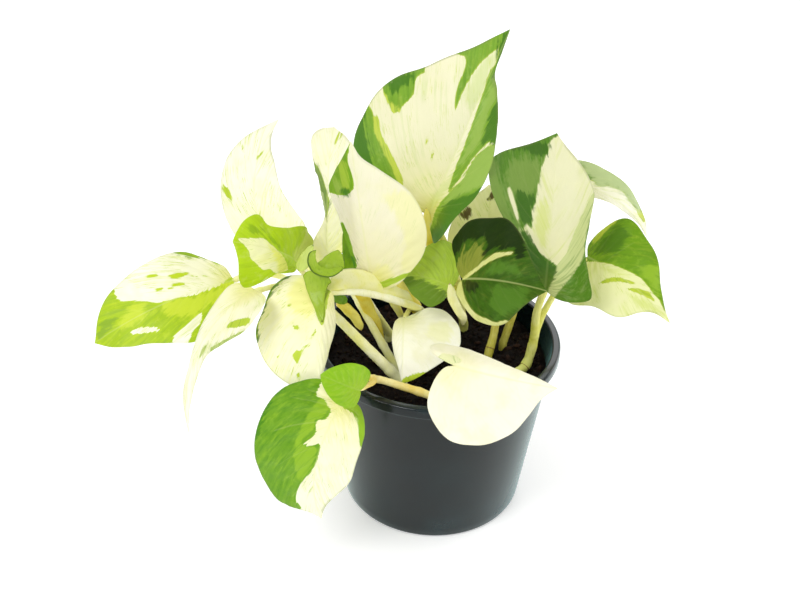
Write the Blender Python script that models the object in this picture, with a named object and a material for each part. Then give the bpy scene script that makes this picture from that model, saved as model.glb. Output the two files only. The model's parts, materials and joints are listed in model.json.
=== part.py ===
"""A variegated pothos with cream and green leaves in a round black nursery pot.

Metres, +Z up. The origin is the centre of the pot's flat bottom, and the plant's
front, the side that its big leaves face, looks along -Y.
"""
import math

import bmesh
import bpy
import numpy as np
from mathutils import Vector

MM = 0.001

# Pot
POT_HEIGHT = 91.0
POT_BASE_RADIUS = 45.5
POT_TOP_RADIUS = 57.4
POT_WALL = 1.4
POT_FLOOR = 1.6
RIM_RADIUS = 60.0
RIM_HEIGHT = 5.0
RIM_ROUND = 0.8
POT_SEGMENTS = 48
DRAIN_HOLES = 6
DRAIN_RADIUS = 4.5
DRAIN_CIRCLE = 32.0

# Soil
SOIL_TOP = 79.5
SOIL_BUMP = 0.9
SOIL_RINGS = 7
CLEARANCE = 0.3

# Stems
STEM_BURIED = 13.0
STEM_RISE = 2.5
STEM_SIDES_RESOLUTION = 1
STEM_STEP = 7.0
STALK_GAP = 0.4
STALK_INSET = 0.5
HOLE_SEGMENTS = 16
MERGE = 0.01

# Leaves
LEAF_THICKNESS = 0.8
LEAF_ROWS = 15
LEAF_COLUMNS = 3
RIB_LEAN = 2.6
FOLD_SHARE = 0.2
FLAT = 1e-5
OUTLINE_SAMPLES = 200

# Half of a plain heart-shaped blade: how far along the midrib, and how far out from it
# as a share of the half's width, from the notch at the leaf stalk round the basal lobe
# to the drawn-out tip.
HALF_OUTLINE = [
    (0, 0), (-0.07, 0.13), (-0.11, 0.34), (-0.09, 0.58), (0, 0.8), (0.13, 0.95),
    (0.29, 1), (0.46, 0.91), (0.63, 0.7), (0.79, 0.41), (0.91, 0.16), (1, 0),
]

# Nearly round, for a young leaf.
YOUNG_OUTLINE = [
    (0, 0), (-0.05, 0.25), (-0.03, 0.6), (0.08, 0.88), (0.28, 1), (0.5, 0.96), (0.7, 0.75), (0.86, 0.45),
    (0.95, 0.2), (1, 0),
]

# What a leaf has where its own row says nothing else. Pairs are the half on the left
# and the half on the right of the midrib, for someone who looks at its face, tip up.
# rise and sway bow the midrib towards the face and towards the left, in mm. fold is the
# angle at which a half leaves the midrib, and curl the angle by which it bends on its
# way out, both towards the face. wave is the height of the ripples along the edge.
PLAIN_LEAF = {
    "left": HALF_OUTLINE, "right": HALF_OUTLINE, "rise": (6, 6), "sway": (0, 0), "fold": (12, 12),
    "curl": (0, 0), "wave": 0.8, "waves": 2.5,
}

# Each blade: notch, tip and the direction that its face looks in, the widths of its two
# halves, in mm, and the outlines that those have where they aren't plain.
LEAVES = {
    "leaf_tall": {
        "base": (-6, 18, 148), "tip": (30, 62, 225), "face": (-1, -9, 5), "width": (50, 33),
        "rise": (2, 4), "sway": (1, 0), "fold": (5, 50), "wave": 1.2,
        "left": [(0, 0), (0.01, 0.25), (0.05, 0.6), (0.12, 0.85), (0.22, 0.94), (0.33, 0.94), (0.45, 0.9),
                 (0.56, 0.78), (0.65, 0.6), (0.74, 0.45), (0.84, 0.25), (0.93, 0.11), (1, 0)],
        "right": [(0, 0), (-0.07, 0.1), (-0.12, 0.28), (-0.08, 0.46), (0.04, 0.6), (0.16, 0.77), (0.28, 0.82),
                  (0.4, 0.77), (0.57, 0.5), (0.68, 0.26), (0.76, 0.07), (0.88, 0.03), (1, 0)]},
    "leaf_cream": {
        "base": (-32, -9, 124), "tip": (-43, 13, 188), "face": (-1, -9, 5), "width": (26, 30),
        "rise": (4, 4), "fold": (60, 0), "curl": (0, -10),
        "left": [(0, 0), (0.01, 0.15), (0.08, 0.28), (0.2, 0.34), (0.38, 0.46), (0.54, 0.54), (0.66, 0.68),
                 (0.74, 0.7), (0.82, 0.48), (0.9, 0.2), (1, 0)],
        "right": [(0, 0), (-0.03, 0.2), (0, 0.42), (0.07, 0.62), (0.18, 0.86), (0.32, 0.96), (0.46, 0.94),
                  (0.58, 0.84), (0.68, 0.67), (0.8, 0.36), (0.89, 0.12), (1, 0)]},
    "leaf_behind_left": {
        "base": (-54, 10, 128), "tip": (-53, 50, 178), "face": (-2, -9, 5), "width": (10, 17), "rise": (8, 10),
        "left": [(0, 0), (-0.08, 0.3), (-0.07, 0.7), (0.02, 0.95), (0.14, 0.6), (0.28, 0.15), (0.42, 0.1),
                 (0.55, 0.3), (0.66, 0.6), (0.78, 0.9), (0.9, 0.95), (0.97, 0.6), (1, 0)],
        "right": [(0, 0), (0.01, 0.3), (0.08, 0.6), (0.2, 0.85), (0.35, 0.97), (0.5, 1), (0.65, 0.92),
                  (0.8, 0.7), (0.91, 0.4), (1, 0)]},
    "leaf_upper_left": {
        "base": (-78, 16, 121), "tip": (-81, 62, 176), "face": (-3, -9, 5), "width": (16, 28),
        "rise": (8, 6), "sway": (14, 16), "fold": (10, 25),
        "left": [(0, 0), (0.02, 0.2), (0.1, 0.5), (0.22, 0.8), (0.34, 0.98), (0.48, 1.03), (0.6, 1.04),
                 (0.7, 0.98), (0.8, 0.75), (0.91, 0.32), (1, 0)],
        "right": [(0, 0), (-0.04, 0.4), (-0.02, 0.8), (0.08, 0.98), (0.21, 0.88), (0.44, 0.67), (0.67, 0.45),
                  (0.8, 0.2), (0.9, 0.06), (1, 0)]},
    "leaf_folded_left": {
        "base": (-67, -10, 137), "tip": (-92, -34, 161), "face": (0, -6, 8), "width": (18, 18),
        "rise": (6, 4), "fold": (-20, 25), "curl": (-40, 0),
        "left": [(0, 0), (0.05, 0.3), (0.2, 0.45), (0.4, 0.55), (0.52, 0.72), (0.61, 0.98), (0.75, 1.08),
                 (0.87, 0.9), (0.94, 0.4), (1, 0)],
        "right": [(0, 0), (-0.15, 0.15), (-0.28, 0.5), (-0.33, 0.8), (-0.23, 0.97), (-0.05, 0.97), (0.12, 0.88),
                  (0.3, 0.68), (0.45, 0.58), (0.58, 0.6), (0.68, 0.75), (0.78, 0.74), (0.9, 0.52), (1, 0)]},
    "leaf_hanging_left": {
        "base": (-52, -30, 135), "tip": (-54, -62, 99), "face": (-3, -8, 5), "width": (18, 30),
        "rise": (8, 6), "fold": (-65, 9), "curl": (-30, -25),
        "left": [(0, 0), (0.02, 0.2), (0.1, 0.4), (0.25, 0.6), (0.42, 0.62), (0.6, 0.5), (0.8, 0.25), (1, 0)],
        "right": [(0, 0), (-0.1, 0.2), (-0.16, 0.45), (-0.13, 0.7), (0, 0.85), (0.2, 0.94), (0.42, 1),
                  (0.6, 0.94), (0.75, 0.75), (0.88, 0.45), (1, 0)]},
    "leaf_far_left": {
        "base": (-96, -16, 130), "tip": (-156, -42, 111), "face": (-1, -7, 7), "width": (24, 21),
        "rise": (8, 8), "sway": (-2, -2),
        "left": [(0, 0), (0.02, 0.25), (0.14, 0.55), (0.3, 0.92), (0.42, 1), (0.56, 0.8), (0.68, 0.6),
                 (0.78, 0.5), (0.9, 0.3), (1, 0)],
        "right": [(0, 0), (0.02, 0.3), (0.1, 0.55), (0.22, 0.88), (0.32, 0.97), (0.45, 0.96), (0.58, 0.92),
                  (0.7, 0.8), (0.8, 0.65), (0.9, 0.4), (1, 0)]},
    "leaf_drooping_left": {
        "base": (-85, -28, 133), "tip": (-111, -70, 83), "face": (-5, -6, 7), "width": (20, 14),
        "rise": (18, 17), "sway": (-4, -6),
        "left": [(0, 0), (0, 0.3), (0.04, 0.7), (0.14, 1), (0.26, 0.98), (0.38, 0.68), (0.5, 0.38),
                 (0.65, 0.24), (0.82, 0.16), (1, 0)],
        "right": [(0, 0), (0, 0.35), (0.05, 0.65), (0.15, 0.62), (0.3, 0.42), (0.45, 0.24), (0.6, 0.16),
                  (0.8, 0.12), (1, 0)]},
    "leaf_over_rim": {
        "base": (-43, -63, 98), "tip": (-53, -68, 32), "face": (-1, -9, 2), "width": (20, 28),
        "rise": (8, 8), "sway": (-8, -9),
        "left": [(0, 0), (-0.03, 0.15), (-0.03, 0.4), (0.05, 0.7), (0.17, 0.84), (0.36, 0.88), (0.5, 0.86),
                 (0.62, 0.74), (0.73, 0.52), (0.86, 0.22), (1, 0)],
        "right": [(0, 0), (-0.07, 0.2), (-0.06, 0.5), (0.02, 0.78), (0.09, 0.96), (0.19, 1.05), (0.31, 1.07),
                  (0.43, 1.02), (0.56, 0.91), (0.7, 0.74), (0.8, 0.58), (0.88, 0.32), (0.94, 0.14), (1, 0)]},
    "leaf_small": {
        "base": (-35, -68, 108), "tip": (-52, -72, 119), "face": (0, -8, 5), "width": (9, 11),
        "rise": (3, 3), "wave": 0.3, "left": YOUNG_OUTLINE, "right": YOUNG_OUTLINE},
    "leaf_front_right": {
        "base": (6, -62, 118), "tip": (48, -80, 121), "face": (-1, -8, 4), "width": (24, 34),
        "rise": (5, 4), "fold": (-70, -5), "curl": (-20, -15),
        "left": [(0, 0), (-0.15, 0.03), (-0.32, 0.12), (-0.42, 0.3), (-0.38, 0.5), (-0.2, 0.6), (0.1, 0.55),
                 (0.4, 0.4), (0.62, 0.25), (0.85, 0.1), (1, 0)],
        "right": [(0, 0), (-0.12, 0.05), (-0.22, 0.2), (-0.29, 0.45), (-0.29, 0.7), (-0.16, 0.95), (0.05, 1.02),
                  (0.28, 0.98), (0.49, 0.86), (0.67, 0.66), (0.78, 0.42), (0.87, 0.18), (1, 0)]},
    "leaf_centre_front": {
        "base": (-17, -8, 106), "tip": (-17, -36, 88), "face": (0, -7, 7), "width": (28, 8),
        "rise": (6, 6), "fold": (0, -30), "curl": (-25, 0),
        "left": [(0, 0), (0, 0.12), (-0.1, 0.22), (-0.22, 0.32), (-0.27, 0.5), (-0.22, 0.74), (-0.08, 0.9), (0.2, 0.99),
                 (0.46, 0.95), (0.64, 0.75), (0.82, 0.45), (0.94, 0.2), (1, 0)],
        "right": [(0, 0), (-0.02, 0.3), (0.05, 0.58), (0.2, 0.7), (0.38, 0.73), (0.56, 0.58), (0.76, 0.3),
                  (1, 0)]},
    "leaf_dark_right": {
        "base": (10, -10, 130), "tip": (47, -28, 136), "face": (0, -6, 8), "width": (29, 22),
        "rise": (6, 5), "fold": (24, 0),
        "left": [(0, 0), (-0.09, 0.12), (-0.16, 0.35), (-0.2, 0.62), (-0.08, 0.84), (0.12, 0.95), (0.28, 0.99),
                 (0.43, 0.99), (0.54, 0.89), (0.65, 0.69), (0.76, 0.44), (0.9, 0.15), (1, 0)],
        "right": [(0, 0), (-0.04, 0.12), (-0.03, 0.3), (0.06, 0.5), (0.2, 0.76), (0.36, 0.95), (0.52, 1),
                  (0.68, 0.88), (0.8, 0.52), (0.91, 0.2), (1, 0)]},
    "leaf_big_right": {
        "base": (49, -8, 124), "tip": (53, 34, 185), "face": (0, -9, 5), "width": (36, 28),
        "rise": (4, 4), "fold": (10, 15), "curl": (30, 70),
        "left": [(0, 0), (0.05, 0.1), (0.18, 0.3), (0.32, 0.5), (0.46, 0.7), (0.56, 0.84), (0.66, 0.92),
                 (0.75, 0.93), (0.83, 0.72), (0.91, 0.34), (1, 0)],
        "right": [(0, 0), (-0.05, 0.2), (-0.06, 0.5), (-0.01, 0.86), (0.12, 0.76), (0.27, 0.64), (0.44, 0.68),
                  (0.6, 0.74), (0.72, 0.58), (0.83, 0.36), (0.92, 0.16), (1, 0)]},
    "leaf_arching_right": {
        "base": (54, 45, 156), "tip": (107, 50, 120), "face": (1, -5, 7), "width": (12, 8), "rise": (20, 16),
        "left": [(0, 0), (0, 0.4), (0.08, 0.85), (0.2, 1.02), (0.32, 0.98), (0.46, 0.86), (0.68, 0.66),
                 (0.85, 0.36), (1, 0)],
        "right": [(0, 0), (0, 0.4), (0.1, 0.75), (0.25, 0.7), (0.42, 0.5), (0.67, 0.25), (0.85, 0.1), (1, 0)]},
    "leaf_far_right": {
        "base": (72, 20, 126), "tip": (111, -5, 105), "face": (1, -6, 8), "width": (26, 25),
        "rise": (8, 8), "fold": (10, -5), "wave": 1.2,
        "left": [(0, 0), (-0.08, 0.25), (-0.07, 0.55), (-0.02, 0.85), (0.07, 1.02), (0.19, 1.03), (0.35, 0.9),
                 (0.54, 0.67), (0.74, 0.32), (0.88, 0.1), (1, 0)],
        "right": [(0, 0), (-0.06, 0.4), (0, 0.85), (0.14, 1.02), (0.33, 0.86), (0.52, 0.76), (0.64, 0.6),
                  (0.73, 0.3), (0.83, 0.12), (1, 0)]},
    "leaf_behind_centre": {
        "base": (23, 22, 120), "tip": (24, 48, 150), "face": (0, -8, 6), "width": (20, 16)},
    "leaf_green_centre": {
        "base": (6, 0, 119), "tip": (-20, 4, 123), "face": (0, -6, 8), "width": (15, 20),
        "left": [(0, 0), (0.03, 0.15), (0.08, 0.4), (0.18, 0.75), (0.32, 0.98), (0.48, 0.93), (0.65, 0.7),
                 (0.8, 0.4), (0.92, 0.15), (1, 0)],
        "right": [(0, 0), (-0.04, 0.2), (-0.05, 0.5), (0.02, 0.8), (0.15, 0.97), (0.32, 1), (0.48, 0.91),
                  (0.65, 0.7), (0.8, 0.4), (0.92, 0.15), (1, 0)]},
}

# Each stem: runs of points in mm with the radii at their two ends. The first run comes
# out of the soil at its first point, and the others are leaf stalks that branch from it.
# A run that ends with a leaf's name ends just behind the notch of that leaf.
STEMS = {
    "vine_over_rim": [
        [(3, -46, 80), (-4, -46, 89), (-18, -44, 93), (-28, -45, 97), (-36, -52, 102), "leaf_over_rim", 1.9, 1.3],
        [(-30, -47, 99), (-30, -58, 105), "leaf_small", 1.3, 0.9]],
    "vine_left": [
        [(-17, -27, 80), (-32, -26, 99), (-49, -22, 116), (-63, -16, 126), 2.2, 1.6],
        [(-58, -18, 123), (-72, -18, 129), "leaf_drooping_left", 1.4, 1.1],
        [(-58, -18, 123), (-74, -9, 128), (-88, -10, 130), "leaf_far_left", 1.4, 1.1],
        [(-60, -17, 124), (-63, -8, 128), (-68.6, -9.3, 136.6), 1.4, 1.1]],
    "vine_upper_left": [
        [(-20, -16, 80), (-30, -8, 97), (-42, 5, 112), (-51, 14, 121), "leaf_behind_left", 1.9, 1.3],
        [(-42, 5, 112), (-60, 14, 117), "leaf_upper_left", 1.4, 1.1]],
    "stem_cream": [
        [(-24, 13, 80), (-31, 4, 101), (-35, 0, 113), "leaf_cream", 2.2, 1.4]],
    "vine_centre": [
        [(-6, 17, 80), (-8, 4, 102), (-21, -11, 118), (-37, -22, 129), (-53, -28.9, 133), 2.0, 1.3],
        [(-11, 0, 107), (-14, 0, 106), "leaf_centre_front", 1.2, 0.9]],
    "vine_back": [
        [(14, 23, 80), (10, 14, 104), (8, 14, 116), (4, 18, 128), "leaf_tall", 2.2, 1.4],
        [(8, 14, 112), (13, 5, 119), "leaf_dark_right", 1.4, 1.1],
        [(9, 14, 106), (7, 8, 111), "leaf_green_centre", 1.4, 1.1]],
    "stem_behind": [
        [(25, -4, 80), (28, 4, 92), (29, 14, 103), "leaf_behind_centre", 2.0, 1.3]],
    "stem_arching": [
        [(33, 7, 80), (37, 14, 93), (46, 34, 114), (52, 46, 140), "leaf_arching_right", 1.9, 1.3]],
    "vine_right": [
        [(38, -18, 80), (44, -12, 84), (48, -8, 95), (48, -6, 110), "leaf_big_right", 2.3, 1.5],
        [(48, -8, 100), (60, 8, 112), "leaf_far_right", 1.5, 1.1]],
    "stem_front_right": [
        [(17, -25, 80), (15, -38, 93), (10, -52, 105), (6.1, -61, 115.6), 1.8, 1.3]],
}

COLOURS = {
    "nursery_plastic": ((0.022, 0.027, 0.028), 0.38),
    "potting_soil": ((0.020, 0.013, 0.009), 0.95),
    "stem": ((0.62, 0.60, 0.22), 0.45),
    "leaf_cream_blade": ((0.86, 0.84, 0.55), 0.35),
    "leaf_green_blade": ((0.20, 0.38, 0.06), 0.35),
}

GREEN_LEAVES = {"leaf_folded_left", "leaf_small", "leaf_dark_right", "leaf_green_centre"}


def clear_scene():
    for item in list(bpy.data.objects):
        bpy.data.objects.remove(item, do_unlink=True)


def material(name):
    """One Principled material for a part, made once and then shared."""
    if name in bpy.data.materials:
        return bpy.data.materials[name]
    colour, roughness = COLOURS[name]
    made = bpy.data.materials.new(name)
    made.use_nodes = True
    shader = made.node_tree.nodes["Principled BSDF"]
    shader.inputs["Base Color"].default_value = (*colour, 1.0)
    shader.inputs["Roughness"].default_value = roughness
    shader.inputs["Metallic"].default_value = 0.0
    return made


def add_object(name, vertices, faces, colour=None):
    """A mesh object from points in mm."""
    mesh = bpy.data.meshes.new(name)
    mesh.from_pydata([tuple(float(v) * MM for v in p) for p in vertices], [], [tuple(f) for f in faces])
    mesh.validate()
    made = bpy.data.objects.new(name, mesh)
    bpy.context.collection.objects.link(made)
    if colour:
        made.data.materials.append(material(colour))
        mesh.shade_smooth()
    return made


def unit(vectors):
    return vectors / np.linalg.norm(vectors, axis=-1, keepdims=True)


def through(points, at):
    """A smooth curve through the points, read where 0 is the first and 1 the last."""
    points = np.array(points, float)
    padded = np.vstack([2 * points[0] - points[1], points, 2 * points[-1] - points[-2]])
    spans = len(points) - 1
    index = np.clip((at * spans).astype(int), 0, spans - 1)
    f = (at * spans - index)[..., None]
    a, b, c, d = padded[index], padded[index + 1], padded[index + 2], padded[index + 3]
    return 0.5 * (2 * b + (c - a) * f + (2 * a - 5 * b + 4 * c - d) * f**2 + (3 * b - a - 3 * c + d) * f**3)


# Pot

def lathe(name, profile, segments, colour=None):
    """A closed turned solid. The profile runs up the outside and back down the inside,
    and both its ends lie on the axis."""
    angles = np.linspace(0, 2 * math.pi, segments, endpoint=False)
    rings = profile[1:-1]
    vertices = [(0, 0, profile[0][1])]
    for radius, z in rings:
        vertices += [(radius * math.cos(a), radius * math.sin(a), z) for a in angles]
    vertices.append((0, 0, profile[-1][1]))
    last = len(vertices) - 1
    top = 1 + (len(rings) - 1) * segments
    faces = []
    for i in range(segments):
        j = (i + 1) % segments
        faces.append((0, 1 + j, 1 + i))
        faces.append((last, top + i, top + j))
        for k in range(len(rings) - 1):
            low = 1 + k * segments
            faces.append((low + i, low + j, low + segments + j, low + segments + i))
    return add_object(name, vertices, faces, colour)


def inner_radius(z):
    """The inside of the pot's wall at a height."""
    return POT_BASE_RADIUS + (POT_TOP_RADIUS - POT_BASE_RADIUS) * z / POT_HEIGHT - POT_WALL


def make_cutter(name, columns, segments):
    """Upright round columns, as (x, y, radius, bottom, top), joined in one hidden cutter."""
    shape = bmesh.new()
    for x, y, radius, bottom, top in columns:
        made = bmesh.ops.create_cone(shape, cap_ends=True, segments=segments, radius1=radius * MM,
                                     radius2=radius * MM, depth=(top - bottom) * MM)
        middle = Vector((x, y, (bottom + top) / 2)) * MM
        bmesh.ops.translate(shape, verts=made["verts"], vec=middle)
    mesh = bpy.data.meshes.new(name)
    shape.to_mesh(mesh)
    shape.free()
    cutter = bpy.data.objects.new(name, mesh)
    bpy.context.collection.objects.link(cutter)
    cutter.hide_render = True
    cutter.display_type = "WIRE"
    return cutter


def cut(target, cutter):
    boolean = target.modifiers.new("holes", "BOOLEAN")
    boolean.operation = "DIFFERENCE"
    boolean.solver = "EXACT"
    boolean.object = cutter


def make_pot():
    rim_bottom = POT_HEIGHT - RIM_HEIGHT
    under_rim = POT_BASE_RADIUS + (POT_TOP_RADIUS - POT_BASE_RADIUS) * rim_bottom / POT_HEIGHT
    rim_inner = inner_radius(POT_HEIGHT)
    profile = [
        (0, 0),
        (POT_BASE_RADIUS - 1.2, 0),
        (POT_BASE_RADIUS - 0.3, 0.4),
        (POT_BASE_RADIUS, 1.4),
        (under_rim, rim_bottom),
        (RIM_RADIUS - RIM_ROUND, rim_bottom),
        (RIM_RADIUS, rim_bottom + RIM_ROUND),
        (RIM_RADIUS, POT_HEIGHT - 2 * RIM_ROUND),
        (RIM_RADIUS - RIM_ROUND, POT_HEIGHT - 0.3),
        (RIM_RADIUS - 2 * RIM_ROUND, POT_HEIGHT),
        (rim_inner + RIM_ROUND, POT_HEIGHT),
        (rim_inner, POT_HEIGHT - RIM_ROUND),
        (inner_radius(POT_FLOOR), POT_FLOOR),
        (0, POT_FLOOR),
    ]
    pot = lathe("pot", profile, POT_SEGMENTS, "nursery_plastic")
    columns = []
    for k in range(DRAIN_HOLES):
        angle = 2 * math.pi * (k + 0.5) / DRAIN_HOLES
        columns.append((DRAIN_CIRCLE * math.cos(angle), DRAIN_CIRCLE * math.sin(angle), DRAIN_RADIUS, -2, 4))
    cut(pot, make_cutter("drain_cutter", columns, HOLE_SEGMENTS))


# Soil

def soil_height(x, y):
    """Low lumps, from a few crossing waves."""
    waves = math.sin(0.19 * x + 0.7) * math.cos(0.23 * y - 0.4) + 0.6 * math.sin(0.41 * x - 0.33 * y)
    return SOIL_TOP + SOIL_BUMP * waves


def make_soil():
    """The root ball: it fills the pot to 12 mm under the rim, clear of the wall."""
    bottom = POT_FLOOR + CLEARANCE
    top_radius = inner_radius(SOIL_TOP) - CLEARANCE - 0.3
    bottom_radius = inner_radius(bottom) - CLEARANCE
    angles = np.linspace(0, 2 * math.pi, POT_SEGMENTS, endpoint=False)
    vertices = [(0, 0, bottom)]
    vertices += [(bottom_radius * math.cos(a), bottom_radius * math.sin(a), bottom) for a in angles]
    for ring in range(SOIL_RINGS, 0, -1):
        radius = top_radius * ring / SOIL_RINGS
        for a in angles:
            x, y = radius * math.cos(a), radius * math.sin(a)
            edge = -1.5 if ring == SOIL_RINGS else 0.0
            vertices.append((x, y, soil_height(x, y) + edge))
    vertices.append((0, 0, soil_height(0, 0)))
    last = len(vertices) - 1
    count = POT_SEGMENTS
    faces = []
    for i in range(count):
        j = (i + 1) % count
        faces.append((0, 1 + j, 1 + i))
        for k in range(SOIL_RINGS):
            low = 1 + k * count
            faces.append((low + i, low + j, low + count + j))
            faces.append((low + i, low + count + j, low + count + i))
        top = 1 + SOIL_RINGS * count
        faces.append((last, top + i, top + j))
    soil = add_object("soil", vertices, faces, "potting_soil")
    columns = []
    for runs in STEMS.values():
        x, y, z = runs[0][0]
        radius = runs[0][-2] * 1.1 + CLEARANCE
        columns.append((x, y, radius, z - STEM_BURIED - CLEARANCE - 1.0, SOIL_TOP + 6))
    cut(soil, make_cutter("stem_hole_cutter", columns, HOLE_SEGMENTS))


# Stems

def stalk_end(name, radius, previous):
    """A point just behind the notch of a leaf, where a stalk that comes from the previous
    point ends clear of the blade."""
    leaf = {**PLAIN_LEAF, **LEAVES[name]}
    base, along, up, left, length = blade_axes(leaf)
    midrib = unit(along * length / 3 + up * leaf["rise"][0] + left * leaf["sway"][0])
    normal = np.cross(midrib, unit(left - (midrib @ left) * midrib))
    travel = unit(base - previous)
    reach = radius * math.sqrt(1 - (travel @ normal) ** 2)
    return base - normal * (LEAF_THICKNESS / 2 + STALK_GAP + reach) + midrib * STALK_INSET


def stem_path(run, from_soil):
    """The points of a run, closely spaced, with the upright foot that stands in the soil."""
    *points, _start_radius, end_radius = run
    leaf = points.pop() if isinstance(points[-1], str) else None
    points = [np.array(p, float) for p in points]
    if leaf:
        points.append(stalk_end(leaf, end_radius, points[-1]))
    foot = []
    if from_soil:
        start = points[0]
        foot = [start - (0, 0, STEM_BURIED), start]
        points[0] = start + (0, 0, STEM_RISE)
    length = sum(np.linalg.norm(b - a) for a, b in zip(points, points[1:]))
    steps = max(3, round(length / STEM_STEP))
    return foot + list(through(points, np.linspace(0, 1, steps + 1)))


def make_run(name, run, from_soil):
    """One round run as a curve, thinner towards its end, made a mesh."""
    path = stem_path(run, from_soil)
    curve = bpy.data.curves.new(name, "CURVE")
    curve.dimensions = "3D"
    curve.bevel_depth = run[-2] * MM
    curve.bevel_resolution = STEM_SIDES_RESOLUTION
    curve.use_fill_caps = True
    spline = curve.splines.new("POLY")
    spline.points.add(len(path) - 1)
    for k, point in enumerate(path):
        along = k / (len(path) - 1)
        spline.points[k].co = (*(point * MM), 1.0)
        spline.points[k].radius = 1 - (1 - run[-1] / run[-2]) * along
    holder = bpy.data.objects.new(name, curve)
    bpy.context.collection.objects.link(holder)
    evaluated = holder.evaluated_get(bpy.context.evaluated_depsgraph_get())
    mesh = bpy.data.meshes.new_from_object(evaluated)
    bpy.data.objects.remove(holder)
    shape = bmesh.new()
    shape.from_mesh(mesh)
    bmesh.ops.remove_doubles(shape, verts=shape.verts, dist=MERGE * MM)
    shape.to_mesh(mesh)
    shape.free()
    made = bpy.data.objects.new(name, mesh)
    bpy.context.collection.objects.link(made)
    return made


def union(target, others):
    """Joins the others to the target in one body, and removes them."""
    group = bpy.data.collections.new(target.name + "_branches")
    for item in others:
        group.objects.link(item)
    boolean = target.modifiers.new("branches", "BOOLEAN")
    boolean.operation = "UNION"
    boolean.solver = "EXACT"
    boolean.operand_type = "COLLECTION"
    boolean.collection = group
    evaluated = target.evaluated_get(bpy.context.evaluated_depsgraph_get())
    joined = bpy.data.meshes.new_from_object(evaluated)
    target.modifiers.clear()
    target.data = joined
    for item in others:
        bpy.data.objects.remove(item)
    bpy.data.collections.remove(group)


def make_stem(name, runs):
    main = make_run(name, runs[0], True)
    branches = [make_run(name + "_branch", run, False) for run in runs[1:]]
    if branches:
        union(main, branches)
    main.data.materials.clear()
    main.data.materials.append(material("stem"))
    main.data.shade_smooth()


# Leaves

def blade_axes(leaf):
    """The notch of a blade, its directions towards the tip, the face and the left, and
    its length."""
    base, tip = np.array(leaf["base"], float), np.array(leaf["tip"], float)
    length = np.linalg.norm(tip - base)
    along = (tip - base) / length
    face = np.array(leaf["face"], float)
    up = unit(face - face @ along * along)
    return base, along, up, np.cross(up, along), length


def outline_at(points, t, length, width):
    """Points of a half's outline, evenly spaced along it from the notch to the tip."""
    curve = through(points, np.linspace(0, 1, OUTLINE_SAMPLES))
    steps = np.linalg.norm(np.diff(curve, axis=0) * (length, width), axis=1)
    way = np.append(0, np.cumsum(steps)) / steps.sum()
    return np.interp(t, way, curve[:, 0]), np.clip(np.interp(t, way, curve[:, 1]), 0, None)


def blade_surface(leaf, rows, columns):
    """The middle surface of a blade as a grid of points. Its rows run from the notch to
    the tip, and each row runs from the right edge over the midrib to the left edge."""
    base, along, up, left, length = blade_axes(leaf)
    t = np.linspace(0, 1, rows + 1)[:, None]
    s = np.linspace(-1, 1, 2 * columns + 1)[None, :]
    half = np.where(s >= 0, 0, 1)
    out = np.abs(s)
    width = np.array(leaf["width"], float)[half]

    edges = [outline_at(leaf[side], t, length, leaf["width"][k]) for k, side in enumerate(("left", "right"))]
    edge_x = np.where(s >= 0, edges[0][0], edges[1][0])
    edge_y = np.where(s >= 0, edges[0][1], edges[1][1])

    # The ribs leave the midrib near its base and bend towards the edge, as the veins do.
    foot = t ** RIB_LEAN
    x = foot + (edge_x - foot) * out ** 1.35
    reach = edge_y * out * width

    m = np.clip(x, 0, 1)[..., None]
    p0, p3 = base, base + along * length
    p1 = base + along * length / 3 + up * leaf["rise"][0] + left * leaf["sway"][0]
    p2 = base + along * length * 2 / 3 + up * leaf["rise"][1] + left * leaf["sway"][1]
    rib = p0 * (1 - m) ** 3 + 3 * p1 * m * (1 - m) ** 2 + 3 * p2 * m * m * (1 - m) + p3 * m ** 3
    run = unit((p1 - p0) * (1 - m) ** 2 + 2 * (p2 - p1) * m * (1 - m) + (p3 - p2) * m * m)
    rib = rib + run * length * np.minimum(x, 0)[..., None]
    side = unit(left - (run @ left)[..., None] * run)
    normal = np.cross(run, side)

    # Out from the midrib a half first turns by its fold, and then on by its curl.
    fold = np.radians(np.array(leaf["fold"], float)[half]) + FLAT
    curl = np.radians(np.array(leaf["curl"], float)[half]) + FLAT
    bend_width = FOLD_SHARE * width
    first = np.minimum(reach, bend_width)
    turn = fold * first / bend_width
    bend = fold + curl * (reach - first) / width
    across = bend_width / fold * np.sin(turn) + width / curl * (np.sin(bend) - np.sin(fold))
    lift = bend_width / fold * (1 - np.cos(turn)) + width / curl * (np.cos(fold) - np.cos(bend))
    ripple = np.sin(2 * np.pi * leaf["waves"] * x + 1.3 * half) * out ** 2 * np.sqrt(edge_y)
    lift = lift + leaf["wave"] * ripple
    return rib + side * (np.sign(s) * across)[..., None] + normal * lift[..., None]


def blade_faces(rows, columns):
    """Triangles over the grid, with one vertex at the notch and one at the tip. Each
    half is split along its ribs."""
    count = 2 * columns + 1
    faces = []
    for j in range(count - 1):
        faces.append((0, 1 + j, 2 + j))
    for i in range(rows - 2):
        for j in range(count - 1):
            a, b = 1 + i * count + j, 2 + i * count + j
            c, d = b + count, a + count
            faces += [(a, d, c), (a, c, b)] if j < columns else [(a, d, b), (b, d, c)]
    last = 1 + (rows - 1) * count
    for j in range(count - 1):
        faces.append((last - count + j, last, last - count + j + 1))
    return faces


def make_leaf(name, own):
    leaf = {**PLAIN_LEAF, **own}
    grid = blade_surface(leaf, LEAF_ROWS, LEAF_COLUMNS)
    vertices = [grid[0, 0], *grid[1:-1].reshape(-1, 3), grid[-1, 0]]
    colour = "leaf_green_blade" if name in GREEN_LEAVES else "leaf_cream_blade"
    blade = add_object(name, vertices, blade_faces(LEAF_ROWS, LEAF_COLUMNS), colour)
    solid = blade.modifiers.new("thickness", "SOLIDIFY")
    solid.thickness = LEAF_THICKNESS * MM
    solid.offset = 0.0


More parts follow.
